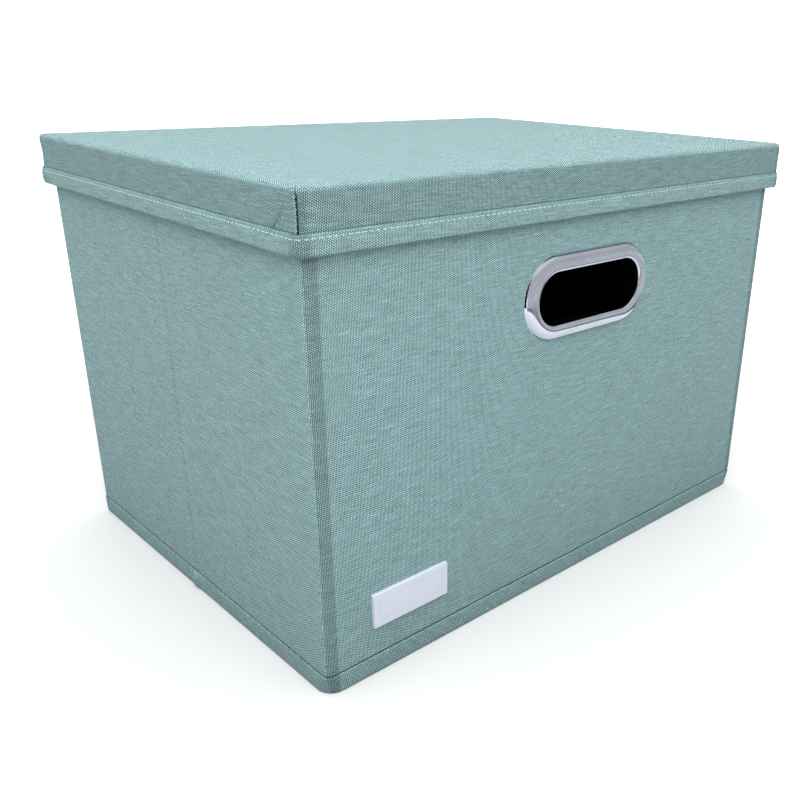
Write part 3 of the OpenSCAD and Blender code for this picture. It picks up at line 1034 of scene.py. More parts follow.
@dataclass
class Walls:
    """Cloth, tapes and linings of the four walls."""

    sizes: BoxSizes
    perimeter: Perimeter
    crease_width: float = 2.6 * MM
    crease_depth: float = 0.35 * MM
    crease_shade_width: float = 1.4 * MM
    tape_bump: float = 2.3 * MM
    tape_bump_width: float = 3.4 * MM
    tape_belly: float = 0.12 * MM
    valley_depth: float = 0.32 * MM

    COVER_SWELLS = ((0.11 * MM, 0.045, 1.0), (0.05 * MM, 0.014, 2.0))
    TAPE_SWELLS = ((0.08 * MM, 0.02, 5.0), (0.05 * MM, 0.006, 6.0))
    LID_FOOT = 225.0 * MM
    LID_FADE = 8.0 * MM
    LOW_HEIGHTS = (4.0, 8.0)
    LINE_HEIGHTS = (-0.4, 0.0, 0.1, 0.3, 0.55, 0.8, 0.92, 1.4, 2.2, 4.0, 7.0, 11.0, 15.0)
    # Painted shadow: a thin dark line over the bottom tape's edge, between these heights in mm over it, and
    # how dark it is; then the painted shade along the creases.
    TAPE_SHADOW_FROM_TO = (0.05, 0.84)
    PAINTED_TAPE_SHADOW = 0.9
    PAINTED_CREASE_SHADE = 0.1
    COVER_STEP = 4.0 * MM
    LINING_STEPS = 12
    TAPE_STEPS = 8
    HOLE_DEPTH = 10.0 * MM

    def crease_at(self, run: float) -> float:
        """Distance along the cloth from the nearest crease."""
        creases = [s.runs for s in self.perimeter.stretches if s.name.endswith("_crease")]
        return min(abs(run - (runs[0] + runs[-1]) / 2) for runs in creases)

    def cloth_swell(self, run: float, z: float) -> float:
        """How far the glued cloth stands out: soft swells, and a faint valley at each crease."""
        under_lid = smooth_step((z - self.LID_FOOT) / self.LID_FADE)
        valley = self.crease_depth * hump(self.crease_at(run), self.crease_width)
        return (swells(run, z, *self.COVER_SWELLS) - valley) * (1.0 - under_lid)

    def tape_swell(self, run: float, z: float) -> float:
        """How far the bottom tape stands out: small swells, and a bulge at each crease."""
        bulge = self.tape_bump * hump(self.crease_at(run), self.tape_bump_width)
        middle = half_wave(z / self.sizes.foot_h) ** 0.6
        return (bulge + self.tape_belly) * middle + swells(run, z, *self.TAPE_SWELLS) * middle

    def painted_cloth_shade(self, run: float, z: float) -> float:
        """Painted shade on the cloth: a thin painted shadow line over the bottom tape's edge, and painted
        shade along the creases.
        """
        start, end = self.TAPE_SHADOW_FROM_TO
        if start < (z - self.sizes.foot_h) / MM < end:
            return self.PAINTED_TAPE_SHADOW
        return self.PAINTED_CREASE_SHADE * hump(self.crease_at(run), self.crease_shade_width)

    def _band(self, name: str, stretch: Stretch, rails: Sequence[Rail], swell: Swell) -> bpy.types.Object:
        """Sweep a band along a stretch.

        Args:
            name: Name of the new piece.
            stretch: Stretch of the walls.
            rails: The band's closed section.
            swell: How far the rails that swell stand out.

        Returns:
            The band.
        """
        sections = []
        for cut, run in zip(stretch.cuts, stretch.runs):
            section = [cut.point(rail, swell(run, rail.z) if rail.swells else 0.0) for rail in rails]
            sections.append(section)
        flat = [(r.out if r.side is Side.OUTER else -self.sizes.wall_t - r.out, r.z) for r in rails]
        lengths = section_lengths(flat, rails[0].z)

        def shade(i: int, j: int) -> float:
            """Painted shade at a cut and a rail: only the cover has its own painted lines."""
            own = self.painted_cloth_shade(stretch.runs[i], rails[j].z) if "cover" in name else 0.0
            return max(own, stretch.cuts[i].shade if rails[j].side is Side.OUTER else 0.0)

        return swept(name, sections, stretch.runs, lengths, shade=shade)

    def _cover_rails(self) -> list[Rail]:
        """Section of the cloth, with a fine valley over the bottom tape."""
        s = self.sizes
        low = [s.layer_z0, *(q * MM for q in self.LOW_HEIGHTS)]
        low += [s.foot_h + q * MM for q in self.LINE_HEIGHTS]
        count = round((s.layer_z1 - low[-1]) / self.COVER_STEP)
        heights = low + even_steps(low[-1], s.layer_z1, count)[1:]
        outer = [Rail(Side.OUTER, self._tape_valley(z), z, swells=z > s.foot_h) for z in heights]
        return outer + rails_on(Side.OUTER, (-s.cover_t, s.layer_z1), (-s.cover_t, s.layer_z0))

    def _tape_valley(self, z: float) -> float:
        """Shallow valley in the cloth where the bottom tape's edge presses it."""
        return -self.valley_depth * hump(z - self.sizes.foot_h - 0.3 * MM, 0.5 * MM)

    def _lining_rails(self) -> list[Rail]:
        """Section of the lining."""
        s = self.sizes
        face = [(0.0, z) for z in even_steps(s.layer_z0, s.layer_z1, self.LINING_STEPS)]
        return rails_on(Side.INNER, *face, (-s.lining_t, s.layer_z1), (-s.lining_t, s.layer_z0))

    def _foot_rails(self) -> list[Rail]:
        """Section of the bottom tape: up the outside and across under the wall."""
        h, t = self.sizes.foot_h, self.sizes.foot_t
        belly = [h * k / self.TAPE_STEPS for k in range(1, self.TAPE_STEPS)] + [h - 0.5 * MM]
        rails = rails_on(Side.OUTER, (0.5 * t, 0.0), (0.9 * t, 0.25 * MM))
        rails += [Rail(Side.OUTER, t, z, swells=True) for z in belly]
        rails += rails_on(Side.OUTER, (0.7 * t, h - 0.1 * MM), (0.2 * t, h), (-0.1 * t, h - 0.2 * MM))
        rails += rails_on(Side.OUTER, (0.0, t)) + rails_on(Side.INNER, (0.0, t), (0.0, 0.0))
        return rails

    def _rim_rails(self, inner_leg: bool) -> list[Rail]:
        """Section of the top tape, with a leg down the inside or without it."""
        s = self.sizes
        low, top, t = s.height - s.rim_h, s.height, s.rim_t
        leg = [(0.0, low), (0.8 * t, low + 0.15 * MM), (t, low + 0.6 * MM)]
        leg += [(t, top - 0.5 * MM), (0.5 * t, top)]
        inner = leg[::-1] if inner_leg else [(0.0, top)]
        rails = rails_on(Side.OUTER, *leg) + rails_on(Side.INNER, *inner, (0.0, top - t))
        return rails + rails_on(Side.OUTER, (0.0, top - t))

    def _hand_hole(self, name: str) -> bpy.types.Object:
        """Make the cutter of the hand hole in the front or the back."""
        handle = Handle.from_frame(name)
        rings = []
        for depth in (-self.HOLE_DEPTH, self.HOLE_DEPTH):
            rings.append([handle.place(core, way, handle.sleeve_r, depth) for core, way in handle.track()])
        return lofted("hand_hole_cutter", rings)

    def build(self) -> None:
        """Build every band of the walls; a band on a flat stretch goes to its body, one across a fold stays
        where it is.
        """
        def still(run: float, z: float) -> float:
            """No swell at all."""
            return 0.0

        for stretch in self.perimeter.stretches:
            layers = (
                ("cover", Stock.LINEN, self._cover_rails(), self.cloth_swell),
                ("lining", Stock.LINING, self._lining_rails(), still),
                ("foot_tape", Stock.TAPE, self._foot_rails(), self.tape_swell),
                ("rim_tape", Stock.TAPE, self._rim_rails("corner" not in stretch.name), still),
            )
            for layer, stock, rails, swell in layers:
                node = f"{stretch.name}_{layer}"
                piece = self._band(f"{node}_cloth", stretch, rails, swell)
                if stretch.name in LONG_WALLS and layer in ("cover", "lining"):
                    cut_out(piece, self._hand_hole(stretch.name))
                dress(piece, stock, *(() if stretch.bends else (node,)))
                stretch.carry(piece)


# ---- handle, plate and base ----------------------------------------------------------------------------


@dataclass(frozen=True)
class Handle:
    """The chrome rim of a hand hole, swept round its slot."""

    wall: str
    half: float
    hole_r: float
    flange_r: float
    sleeve_r: float
    middle_z: float
    face_y: float
    rise: float
    depth: float

    SLEEVE_T = 1.2 * MM
    FLANGE_WIDTH = 9.5 * MM
    CROWN = (
        ((0.0, 0.3), (0.05, 0.47), (0.14, 0.63), (0.3, 0.75), (0.54, 0.835), (0.86, 0.895), (1.2, 0.935))
        + ((1.6, 0.97), (2.1, 0.99), (2.7, 1.0), (3.5, 0.99), (4.4, 0.96), (5.3, 0.91), (6.2, 0.835))
        + ((7.1, 0.725), (7.9, 0.58), (8.6, 0.39), (9.1, 0.19), (9.38, 0.04))
    )

    @classmethod
    def from_frame(cls, wall: str) -> "Handle":
        """Read the sizes of the front's or the back's rim from the frame."""
        lo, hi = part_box(f"{wall}_handle_rim")
        sign = -1.0 if wall == "front" else 1.0
        cover_lo, cover_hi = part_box(f"{wall}_cover")
        face = -cover_lo.y if wall == "front" else cover_hi.y
        flange_r = (hi.z - lo.z) / 2
        hole_r = flange_r - cls.FLANGE_WIDTH
        return cls(
            wall=wall,
            half=(hi.x - lo.x) / 2 - flange_r,
            hole_r=hole_r,
            flange_r=flange_r,
            sleeve_r=hole_r + cls.SLEEVE_T,
            middle_z=(hi.z + lo.z) / 2,
            face_y=sign * face,
            rise=max(abs(lo.y), abs(hi.y)) - face,
            depth=face - min(abs(lo.y), abs(hi.y)),
        )

    def track(self, arc_steps: int = 24, straight_steps: int = 8) -> list[tuple[Vector, Vector]]:
        """Core point and outward direction all round the slot, by the steps of its arcs and straights."""
        stops = []
        for sign in (1, -1):
            for k in range(arc_steps + 1):
                angle = math.radians(-90 + 180 * k / arc_steps)
                way = Vector((sign * math.cos(angle), 0.0, sign * math.sin(angle)))
                stops.append((Vector((sign * self.half, 0.0, self.middle_z)), way))
            for k in range(1, straight_steps):
                x = sign * self.half * (1 - 2 * k / straight_steps)
                stops.append((Vector((x, 0.0, self.middle_z)), Vector((0.0, 0.0, sign))))
        return stops

    def place(self, core: Vector, way: Vector, radius: float, out: float) -> Vector:
        """Place at a radius from the slot's core line and a distance out of the wall."""
        sign = -1.0 if self.face_y < 0 else 1.0
        return core + way * radius + Vector((0.0, self.face_y + sign * out, 0.0))

    def section(self) -> list[Place2]:
        """Section of the rim: sleeve, inner lip, crown and outer edge."""
        start = [(self.sleeve_r, 0.0), (self.sleeve_r, -self.depth), (self.hole_r, -self.depth)]
        crown = [(self.hole_r + q * MM, self.rise * share) for q, share in self.CROWN]
        return start + crown + [(self.flange_r, 0.0)]

    def build(self) -> None:
        """Build the rim and let its wall carry it."""
        section = self.section()
        stops = self.track(arc_steps=48, straight_steps=12)
        sections = [[self.place(core, way, r, out) for r, out in section] for core, way in stops]
        lengths = section_lengths(section, 0.0)
        runs = [3 * MM * k for k in range(len(stops) + 1)]
        name = f"{self.wall}_handle_rim"
        rim = swept(f"{name}_pressed", sections, runs, lengths, closed_path=True, crisp=60.0)
        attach(dress(rim, Stock.CHROME, name), f"{self.wall}_wall")


@dataclass(frozen=True)
class NamePlate:
    """The bare plate low on the front."""

    lo: Vector
    hi: Vector
    corner: float = 0.8 * MM

    EDGE = ((0.0, 0.0), (0.0, 0.8), (0.05, 0.9), (0.15, 0.97), (0.32, 1.0), (0.6, 1.0), (3.55, 1.0))
    SUNK_LINE = ((3.56, 0.86), (3.6, 0.84), (3.86, 0.84), (3.9, 0.86), (3.91, 1.0), (4.8, 1.0))

    def build(self) -> None:
        """Build the plate as rings from its back to its field, and let the front carry it."""
        w, h = self.hi.x - self.lo.x, self.hi.z - self.lo.z
        thick = self.hi.y - self.lo.y
        middle = (self.lo + self.hi) / 2
        rings = []
        for inset, share in self.EDGE + self.SUNK_LINE:
            radius = max(0.15 * MM, self.corner - 0.3 * inset * MM)
            outline = round_rectangle(w - 2 * inset * MM, h - 2 * inset * MM, radius, 6)
            y = self.hi.y - thick * share
            rings.append([Vector((middle.x + x, y, middle.z + z)) for x, z in outline])

        def cloth(i: int, j: int, n: int, k: int) -> Place2:
            """Flat coordinates of a point."""
            return (rings[i][j].x, rings[i][j].z)

        plate = lofted("name_plate_moulded", rings, cloth, crisp=20.0)
        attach(dress(plate, Stock.PLATE, "name_plate"), "front_wall")


@dataclass(frozen=True)
class Base:
    """The three layers of the base, creased where they fold flat with the walls; all of them ride on the
    front wall.
    """

    keep: float = 0.1
    anchor_y: float = -0.136
    crease: float = 1.5 * MM
    edge_strip: float = 4.0 * MM

    def _layer(self, node: str, stock: Stock, notch: float, edge: float) -> None:
        """Build one layer with its crease and soft edges.

        Args:
            node: Node that the layer stands for.
            stock: Its finish.
            notch: Depth of the crease on each side.
            edge: Radius of its front and rear edges.
        """
        lo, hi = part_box(node)
        rows = [lo.y + edge, lo.y + self.edge_strip, lo.y / 2, -self.crease, 0.0]
        rows += [self.crease, hi.y / 2, hi.y - self.edge_strip, hi.y - edge]
        under = [(y, lo.z + (notch if y == 0.0 else 0.0)) for y in rows]
        over = [(y, hi.z - (notch if y == 0.0 else 0.0)) for y in rows[::-1]]
        section = under + [(hi.y, lo.z + edge), (hi.y, hi.z - edge)] + over
        section += [(lo.y, hi.z - edge), (lo.y, lo.z + edge)]
        places = even_steps(lo.x, hi.x, 12)
        sections = [[Vector((x, y, z)) for y, z in section] for x in places]
        piece = swept(f"{node}_creased", sections, places, section_lengths(section, lo.y), crisp=45.0)
        dress(piece, stock, node)
        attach(piece, "front_wall")
        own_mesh(piece)

    def build(self) -> None:
        """Build the cloth under the base, its card and its lining."""
        self._layer("base_cloth", Stock.LINEN, notch=0.25 * MM, edge=0.25 * MM)
        self._layer("base_card", Stock.BOARD, notch=0.5 * MM, edge=0.4 * MM)
        self._layer("base_lining", Stock.LINING, notch=0.2 * MM, edge=0.2 * MM)


# ---- lid -----------------------------------------------------------------------------------------------


@dataclass(frozen=True)
class LidStop:
    """A stop on the lid's outline: its foot, its normal, its side, and its place along that side.

    Slit is the angle in degrees from the middle of the nearest corner, or 90 off the corners.
    """

    foot: Vector
    normal: Vector
    side: int
    across: float
    slit: float

    REACH = 44.0

    @property
    def on_corner(self) -> bool:
        """True where the stop is on the round of a corner."""
        return self.slit < self.REACH

    @property
    def on_long(self) -> bool:
        """True on the front and the back."""
        return self.side in (0, 2)

    def swells(self, z: float, *layers: tuple[float, float, float]) -> float:
        """Soft noises at a height, with a pattern of its own for each side."""
        return swells(self.across + 0.7 * self.side, z, *layers)

    def at(self, out: float, z: float) -> Vector:
        """Place at a distance out of the cloth and a height."""
        return self.foot + self.normal * out + Vector((0.0, 0.0, z))


@dataclass
class Lid:
    """The lid: cloth, hem tape, boards and seams."""

    lo: Vector
    hi: Vector
    hem_lo: Vector
    hem_hi: Vector
    cover_t: float
    wall_t: float = 3.2 * MM
    corner_r: float = 3.6 * MM
    edge_r: float = 2.6 * MM
    step: float = 3.0 * MM
    hem_drop: float = 0.9 * MM
    hem_hang: float = 1.6 * MM
    pucker_at: float = 15.0 * MM
    pucker_depth: float = 0.6 * MM
    pucker_lean: float = 0.95
    pucker_ridge: float = 0.4 * MM
    slit_turn_in: float = 1.6 * MM
    slit_lip: float = 0.3 * MM
    corner_pinch: float = 0.8 * MM
    top_ridge: float = 0.16 * MM
    top_soft: float = 0.1 * MM
    hem_belly: float = 0.3 * MM
    hem_lump: float = 0.6 * MM
    seam_dip: float = 0.22 * MM
    stitch_share: float = 0.8
    stitch_out: float = 0.16 * MM
    stops: list[LidStop] = field(default_factory=list)

    # Painted shade on the lid's cloth: the skirt darker than the top, a painted shadow line over the hem,
    # painted shadow in the slits, painted shade beside them and in the pucker.
    PAINTED_SKIRT_SHADE = 0.22
    PAINTED_HEM_SHADOW_LINE = 0.55
    PAINTED_SLIT_SHADOW = 0.96
    PAINTED_SLIT_SIDE_SHADE = 0.4
    PAINTED_PUCKER_SHADE = 0.35
    # Darker hem tape round the corners: painted shade with the doubled tape there; painted shade at its foot
    # and in the pucker.
    HEM_CORNER_SHADE = 0.3
    PAINTED_HEM_FOOT_SHADE = 0.2
    PAINTED_HEM_PUCKER_SHADE = 0.3
    DARKEST_PAINTED_SHADE = 0.5
    LEFT = 3
    BENDS = (0.0, 9.0, 18.0, 25.0, 31.0, 35.0, 38.0, 41.0, 45.0)
    SKIRT_SWELLS = ((0.14 * MM, 0.03, 11.0), (0.07 * MM, 0.009, 12.0))
    OVER_HEM = (-0.6, 0.05, 0.15, 0.35, 0.55, 0.65, 1.4)
    SKIRT_STEPS = 9
    EDGE_STEPS = 8
    TOP_SHARES = (0.0, 0.006, 0.014, 0.025, 0.045, 0.08, 0.14, 0.22, 0.32, 0.44, 0.56, 0.68, 0.8, 0.9, 0.97)
    INNER_SHARES = (0.97, 0.5, 0.0)
    INNER_ANGLES = (60.0, 30.0, 0.0)
    HEM_SHARES = (0.1, 0.16, 0.24, 0.34, 0.46, 0.56, 0.64, 0.7, 0.75, 0.8, 0.85, 0.91, 0.96)
    TOP_BOARD = ((0.9, 2.0), (0.5, 1.8), (0.5, 1.25), (0.9, 0.85), (1.5, 0.4), (2.7, 0.04))
    SLIT_STITCHES = (0.08, 0.26, 0.44, 0.62, 0.8, 0.96)

    @classmethod
    def from_frame(cls) -> "Lid":
        """Read the lid's sizes from the frame."""
        lo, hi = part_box("lid_cover")
        hem_lo, hem_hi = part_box("lid_hem_tape")
        lid = cls(lo, hi, hem_lo, hem_hi, cover_t=hi.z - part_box("lid_top_board")[1].z)
        lid.walk()
        return lid

    @property
    def hem_top(self) -> float:
        """Height of the hem tape's upper edge."""
        return self.hem_hi.z - self.hem_drop

    @property
    def hem_foot(self) -> float:
        """Height of the hem tape's lower edge, which hangs a little below its board."""
        return self.hem_lo.z - self.hem_hang

    def _places(self, side: int, half: float) -> list[float]:
        """Places of the stops between a side's two corners, closer together at the pucker.

        Args:
            side: Number of the side.
            half: Half the length of its straight part.

        Returns:
            The places in order.
        """
        places = even_steps(-half, half, round(2 * half / self.step))[1:-1]
        if side != self.LEFT:
            return places
        start, end = half - self.pucker_at - 9 * MM, half - self.pucker_at + 12 * MM
        fine = even_steps(start, end, 30)
        return [x for x in places if x < start - MM] + fine + [x for x in places if x > end + MM]

    def walk(self) -> None:
        """Walk round the lid's outline, counter-clockwise as seen from above, from its front left corner."""
        half_w, half_d, r = self.hi.x, self.hi.y, self.corner_r
        sides = (
            (Vector((0, -1, 0)), Vector((1, 0, 0)), half_w, half_d),
            (Vector((1, 0, 0)), Vector((0, 1, 0)), half_d, half_w),
            (Vector((0, 1, 0)), Vector((-1, 0, 0)), half_w, half_d),
            (Vector((-1, 0, 0)), Vector((0, -1, 0)), half_d, half_w),
        )
        for side, (normal, along, half, off) in enumerate(sides):
            ends = []
            for sign, bends in ((-1, self.BENDS[::-1]), (1, self.BENDS[:-1])):
                centre = normal * (off - r) + along * (sign * (half - r))
                arc = []
                for bend in bends:
                    angle = math.radians(bend)
                    way = normal * math.cos(angle) + along * (sign * math.sin(angle))
                    across = sign * (half - r + r * angle)
                    arc.append(LidStop(centre + way * r, way, side, across, 45.0 - bend))
                ends.append(arc)
            places = self._places(side, half - r)
            straight = [LidStop(normal * off + along * x, normal, side, x, 90.0) for x in places]
            self.stops += ends[0] + straight + ends[1]

    def from_corner(self, stop: LidStop) -> float:
        """Distance of a stop from the nearer end of its side."""
        return (self.hi.x if stop.on_long else self.hi.y) - abs(stop.across)

    @staticmethod
    def slack(stop: LidStop) -> float:
        """How loose the corner nearest to a stop is: the left corners gape, the right ones are tight."""
        return 1.0 if stop.foot.x < 0 else 0.25

    def pucker(self, stop: LidStop, z: float) -> float:
        """How far the small pucker by the near corner stands out, with the valley beside it."""
        if stop.side != self.LEFT or stop.on_corner:
            return 0.0
        up = z - self.hem_top
        lean = self.hi.y - self.corner_r - stop.across - self.pucker_at + self.pucker_lean * up
        fade = smooth_step((up + 5 * MM) / (3 * MM)) * (1 - smooth_step((up - 5 * MM) / (7 * MM)))
        valley = -self.pucker_depth * hump(lean, 1.1 * MM)
        return fade * (valley + self.pucker_ridge * hump(lean + 2.6 * MM, 1.8 * MM))

    def pucker_shade(self, stop: LidStop, z: float) -> float:
        """Depth of the pucker's valley as a share of its full depth, which sets the shade painted in it."""
        return max(0.0, -self.pucker(stop, z)) / self.pucker_depth

    def slit_depth(self, stop: LidStop, z: float) -> float:
        """How far the cloth turns in at the slit of a corner, with a lip on both sides of it."""
        if not stop.on_corner:
            return 0.0
        share = smooth_step((self.hi.z - 2.4 * MM - z) / (1.6 * MM))
        lip = self.slit_lip * hump(stop.slit - 18.0, 8.0)
        return share * (-self.slit_turn_in * hump(stop.slit, 7.0) + lip)

    def skirt_swell(self, stop: LidStop, z: float) -> float:
        """How far the skirt's cloth stands out: soft swells, pinched in at the corners over the hem."""
        edge = smooth_step((self.hi.z - z) / (6 * MM))
        share = (z - self.hem_top) / (self.hi.z - self.hem_top)
        pinch = -self.corner_pinch * half_wave(share + 0.1) * hump(self.from_corner(stop), 9 * MM)
        soft = stop.swells(z, *self.SKIRT_SWELLS)
        return edge * (soft + pinch * self.slack(stop) + self.pucker(stop, z))

    def painted_cloth_shade(self, stop: LidStop, z: float) -> float:
        """How much darker the cloth is, all painted shade: on the skirt, a shadow line over the hem, in the
        slits and beside them, and at the pucker.
        """
        skirt = self.PAINTED_SKIRT_SHADE * smooth_step((self.hi.z - 1.0 * MM - z) / (1.8 * MM))
        over = (z - self.hem_top) / MM
        line = self.PAINTED_HEM_SHADOW_LINE if 0.1 < over < 0.6 else 0.0
        inside = smooth_step((self.hi.z - 2.2 * MM - z) / MM) if over > 0 else 0.0
        slit = self.PAINTED_SLIT_SHADOW * inside * math.exp(-((stop.slit / 9.0) ** 4))
        lip = stop.on_long and stop.slit > 18 and self.from_corner(stop) < 4.4 * MM
        beside = self.PAINTED_SLIT_SIDE_SHADE * inside if lip else 0.0
        lean = self.PAINTED_PUCKER_SHADE * self.pucker_shade(stop, z)
        return max(skirt, line, slit, beside, min(self.DARKEST_PAINTED_SHADE, skirt + lean))

    def top_swell(self, x: float, y: float) -> float:
        """How far the top's cloth stands up, with a faint ridge along its edges."""
        inset = min(self.hi.x - abs(x), self.hi.y - abs(y))
        ridge = self.top_ridge * hump(inset - 3.4 * MM, 1.6 * MM)
        return ridge + self.top_soft * ripple(x, y, 0.05, 21.0) * smooth_step(inset / (12 * MM))

    def _cloth_ring(self, out: float, z: float) -> list[Vector]:
        """A ring of the outer cloth at a distance out of its flat face and a height."""
        return [s.at(out + (self.slit_depth(s, z) + self.skirt_swell(s, z)), z) for s in self.stops]

    def _towards_middle(self, ring: Sequence[Vector], share: float, z: float, soft: bool) -> list[Vector]:
        """Draw a ring in towards the lid's middle line.

        Args:
            ring: Ring at the edge of the top.
            share: Share of the way in.
            z: Height of the flat face.
            soft: True where the cloth's swells are added.

        Returns:
            The ring further in.
        """
        spine = self.hi.x - self.hi.y
        drawn = []
        for point in ring:
            goal = Vector((min(max(point.x, -spine), spine), 0.0, z))
            flat = Vector((point.x, point.y, z)).lerp(goal, share)
            flat.z = z + (self.top_swell(flat.x, flat.y) if soft else 0.0)
            drawn.append(flat)
        return drawn

    def build_cover(self) -> None:
        """Build the cloth of the lid as one closed shell, from its inner face over the edge to the top.

        Downs holds each ring's distance down from the flat top, or -1 where the ring lies flat.
        """
        top, t, r = self.hi.z, self.cover_t, self.edge_r
        deep = [t + (1.3 * MM if s.slit < 20 else 0.4 * MM if s.on_corner else 0.0) for s in self.stops]
        inner_edge = [stop.at(-r, top - t) for stop in self.stops]
        rings = [self._towards_middle(inner_edge, share, top - t, False) for share in self.INNER_SHARES]
        for angle in self.INNER_ANGLES:
            c, s = math.cos(math.radians(angle)), math.sin(math.radians(angle))
            z = top - r + (r - t) * s
            rings.append([stop.at(-r + (r - d) * c, z) for stop, d in zip(self.stops, deep)])
        rings.append([stop.at(-d, self.lo.z) for stop, d in zip(self.stops, deep)])
        downs = [-1.0, -1.0, -1.0, 0.002, 0.004, 0.006, 0.03]
        heights = [self.lo.z, self.lo.z + 4 * MM, *(self.hem_top + q * MM for q in self.OVER_HEM)]
        heights += even_steps(heights[-1], top - r, self.SKIRT_STEPS)[1:]
        for z in heights:
            rings.append(self._cloth_ring(0.0, z))
            downs.append(top - r - z + r * math.pi / 2)
        for k in range(1, self.EDGE_STEPS):
            angle = math.pi / 2 * k / self.EDGE_STEPS
            rings.append(self._cloth_ring(r * math.cos(angle) - r, top - r + r * math.sin(angle)))
            downs.append(r * (math.pi / 2 - angle))
        edge = [stop.at(-r, top) for stop in self.stops]
        first_top = len(rings)
        rings += [self._towards_middle(edge, share, top, True) for share in self.TOP_SHARES]
        downs += [-1.0] * len(self.TOP_SHARES)

        def cloth(i: int, j: int, n: int, k: int) -> Place2:
            """Coordinates of a point, read for the face that starts at ring n and stop k."""
            across, start = self.stops[j].across, self.stops[k]
            if start.side != self.stops[j].side and start.on_corner:
                across = -across
            down = 0.0 if i == first_top and n < first_top else downs[i]
            return (rings[i][j].x, rings[i][j].y) if down < 0 else (across, -self.hi.y + r - down)

        def shade(i: int, j: int) -> float:
            """Painted shade at a ring and a stop."""
            return self.painted_cloth_shade(self.stops[j], rings[i][j].z)

        cover = lofted("lid_cover_cloth", rings, cloth, crisp=50.0, shade=shade)
        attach(dress(cover, Stock.LINEN, "lid_cover"), "lid")

    def hem_out(self, stop: LidStop, z: float) -> float:
        """How far the hem tape stands out at a height: a soft pillow with small puckers."""
        share = (z - self.hem_foot) / (self.hem_top - self.hem_foot)
        wrinkle = stop.swells(z, (0.2 * MM, 0.011, 31.0)) + stop.swells(2.0 * z, (0.14 * MM, 0.005, 32.0))
        lump = self.hem_lump * self.slack(stop) * hump(self.from_corner(stop) - 3 * MM, 4 * MM)
        belly = half_wave(share)
        out = self.hem_hi.x - self.hi.x + belly * (self.hem_belly + wrinkle + lump)
        out -= self.seam_dip * hump(share - self.stitch_share, 0.09)
        return out + 0.7 * self.pucker(stop, z) * belly

    def hem_shade(self, stop: LidStop, z: float) -> float:
        """How much darker the hem tape is: round the corners, painted shade with the doubled tape there;
        painted shade at its foot, where it turns under, and at the pucker.
        """
        corner = self.HEM_CORNER_SHADE * (1 - smooth_step((self.from_corner(stop) - 5 * MM) / (2 * MM)))
        low = self.PAINTED_HEM_FOOT_SHADE * (1 - smooth_step((z - self.hem_foot) / (0.9 * MM)))
        lean = self.PAINTED_HEM_PUCKER_SHADE * self.pucker_shade(stop, z)
        return min(self.DARKEST_PAINTED_SHADE, max(corner, low) + lean)

    def build_hem(self) -> None:
        """Build the hem tape: a pillow round the skirt that turns in under its edge."""
        low, high, t = self.hem_foot, self.hem_top, self.cover_t
        section_z = [low + (high - low) * share for share in self.HEM_SHARES]
        round_once = [*self.stops, self.stops[0]]
        runs = walked_lengths([s.at(self.hem_out(s, (low + high) / 2), low) for s in round_once], 0.0)
        sections = []
        for stop in self.stops:
            wobble = stop.swells(0.0, (0.25 * MM, 0.02, 33.0))
            under = [(-self.wall_t, low), (-0.2 * MM, low)]
            under += [(0.45 * MM, low + 0.15 * MM), (0.85 * MM, low + 0.5 * MM)]
            face = [(self.hem_out(stop, z), z) for z in section_z]
            edge = [(0.35 * MM, high - 0.05 * MM + wobble), (-0.1 * MM, high - 0.1 * MM + wobble)]
            inner = [(-0.05 * MM, low + t), (-self.wall_t, low + t)]
            sections.append([stop.at(out, z) for out, z in under + face + edge + inner])
        flat = [(p.y, p.z) for p in sections[len(sections) // 8]]

        def shade(i: int, j: int) -> float:
            """Painted shade at a stop and a point of the section."""
            return self.hem_shade(self.stops[i], sections[i][j].z)

        lengths = section_lengths(flat, 0.0)
        hem = swept("lid_hem_tape_sewn", sections, runs, lengths, closed_path=True, crisp=60.0, shade=shade)
        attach(dress(hem, Stock.HEM, "lid_hem_tape"), "lid")

    def build_boards(self) -> None:
        """Build the boards of the lid, short of its soft corners."""
        lo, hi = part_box("lid_top_board")
        rings = []
        for inset, depth in self.TOP_BOARD:
            w, h = hi.x - lo.x - 2 * inset * MM, hi.y - lo.y - 2 * inset * MM
            z = max(lo.z, hi.z - depth * MM)
            rings.append([Vector((x, y, z)) for x, y in round_rectangle(w, h, 4 * MM, 6)])
        top = lofted("lid_top_board_cut", rings, lambda i, j, n, k: (rings[i][j].x, rings[i][j].y))
        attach(dress(top, Stock.BOARD, "lid_top_board"), "lid")
        for side in ("front", "back", "left", "right"):
            node = f"lid_{side}_board"
            lo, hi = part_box(node)
            middle = (lo + hi) / 2
            short_x, short_y = (8 * MM, 0.2 * MM) if side in LONG_WALLS else (0.2 * MM, 4 * MM)
            w, h = hi.x - lo.x - short_x, hi.y - lo.y - short_y
            rings = []
            steps = ((0.3 * MM, lo.z), (0.0, lo.z + 0.3 * MM), (0.0, hi.z - 1.2 * MM), (0.4 * MM, hi.z))
            for inset, z in steps:
                outline = round_rectangle(w - 2 * inset, h - 2 * inset, 0.4 * MM, 3)
                rings.append([Vector((middle.x + x, middle.y + y, z)) for x, y in outline])
            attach(dress(lofted(f"{node}_cut", rings), Stock.BOARD, node), "lid")

    def stitch_paths(self) -> list[list[Vector]]:
        """Path of the running seam along the hem."""
        z = self.hem_foot + self.stitch_share * (self.hem_top - self.hem_foot)
        hem = [stop.at(self.hem_out(stop, z) + self.stitch_out, z) for stop in self.stops]
        return [hem + [hem[0]]]

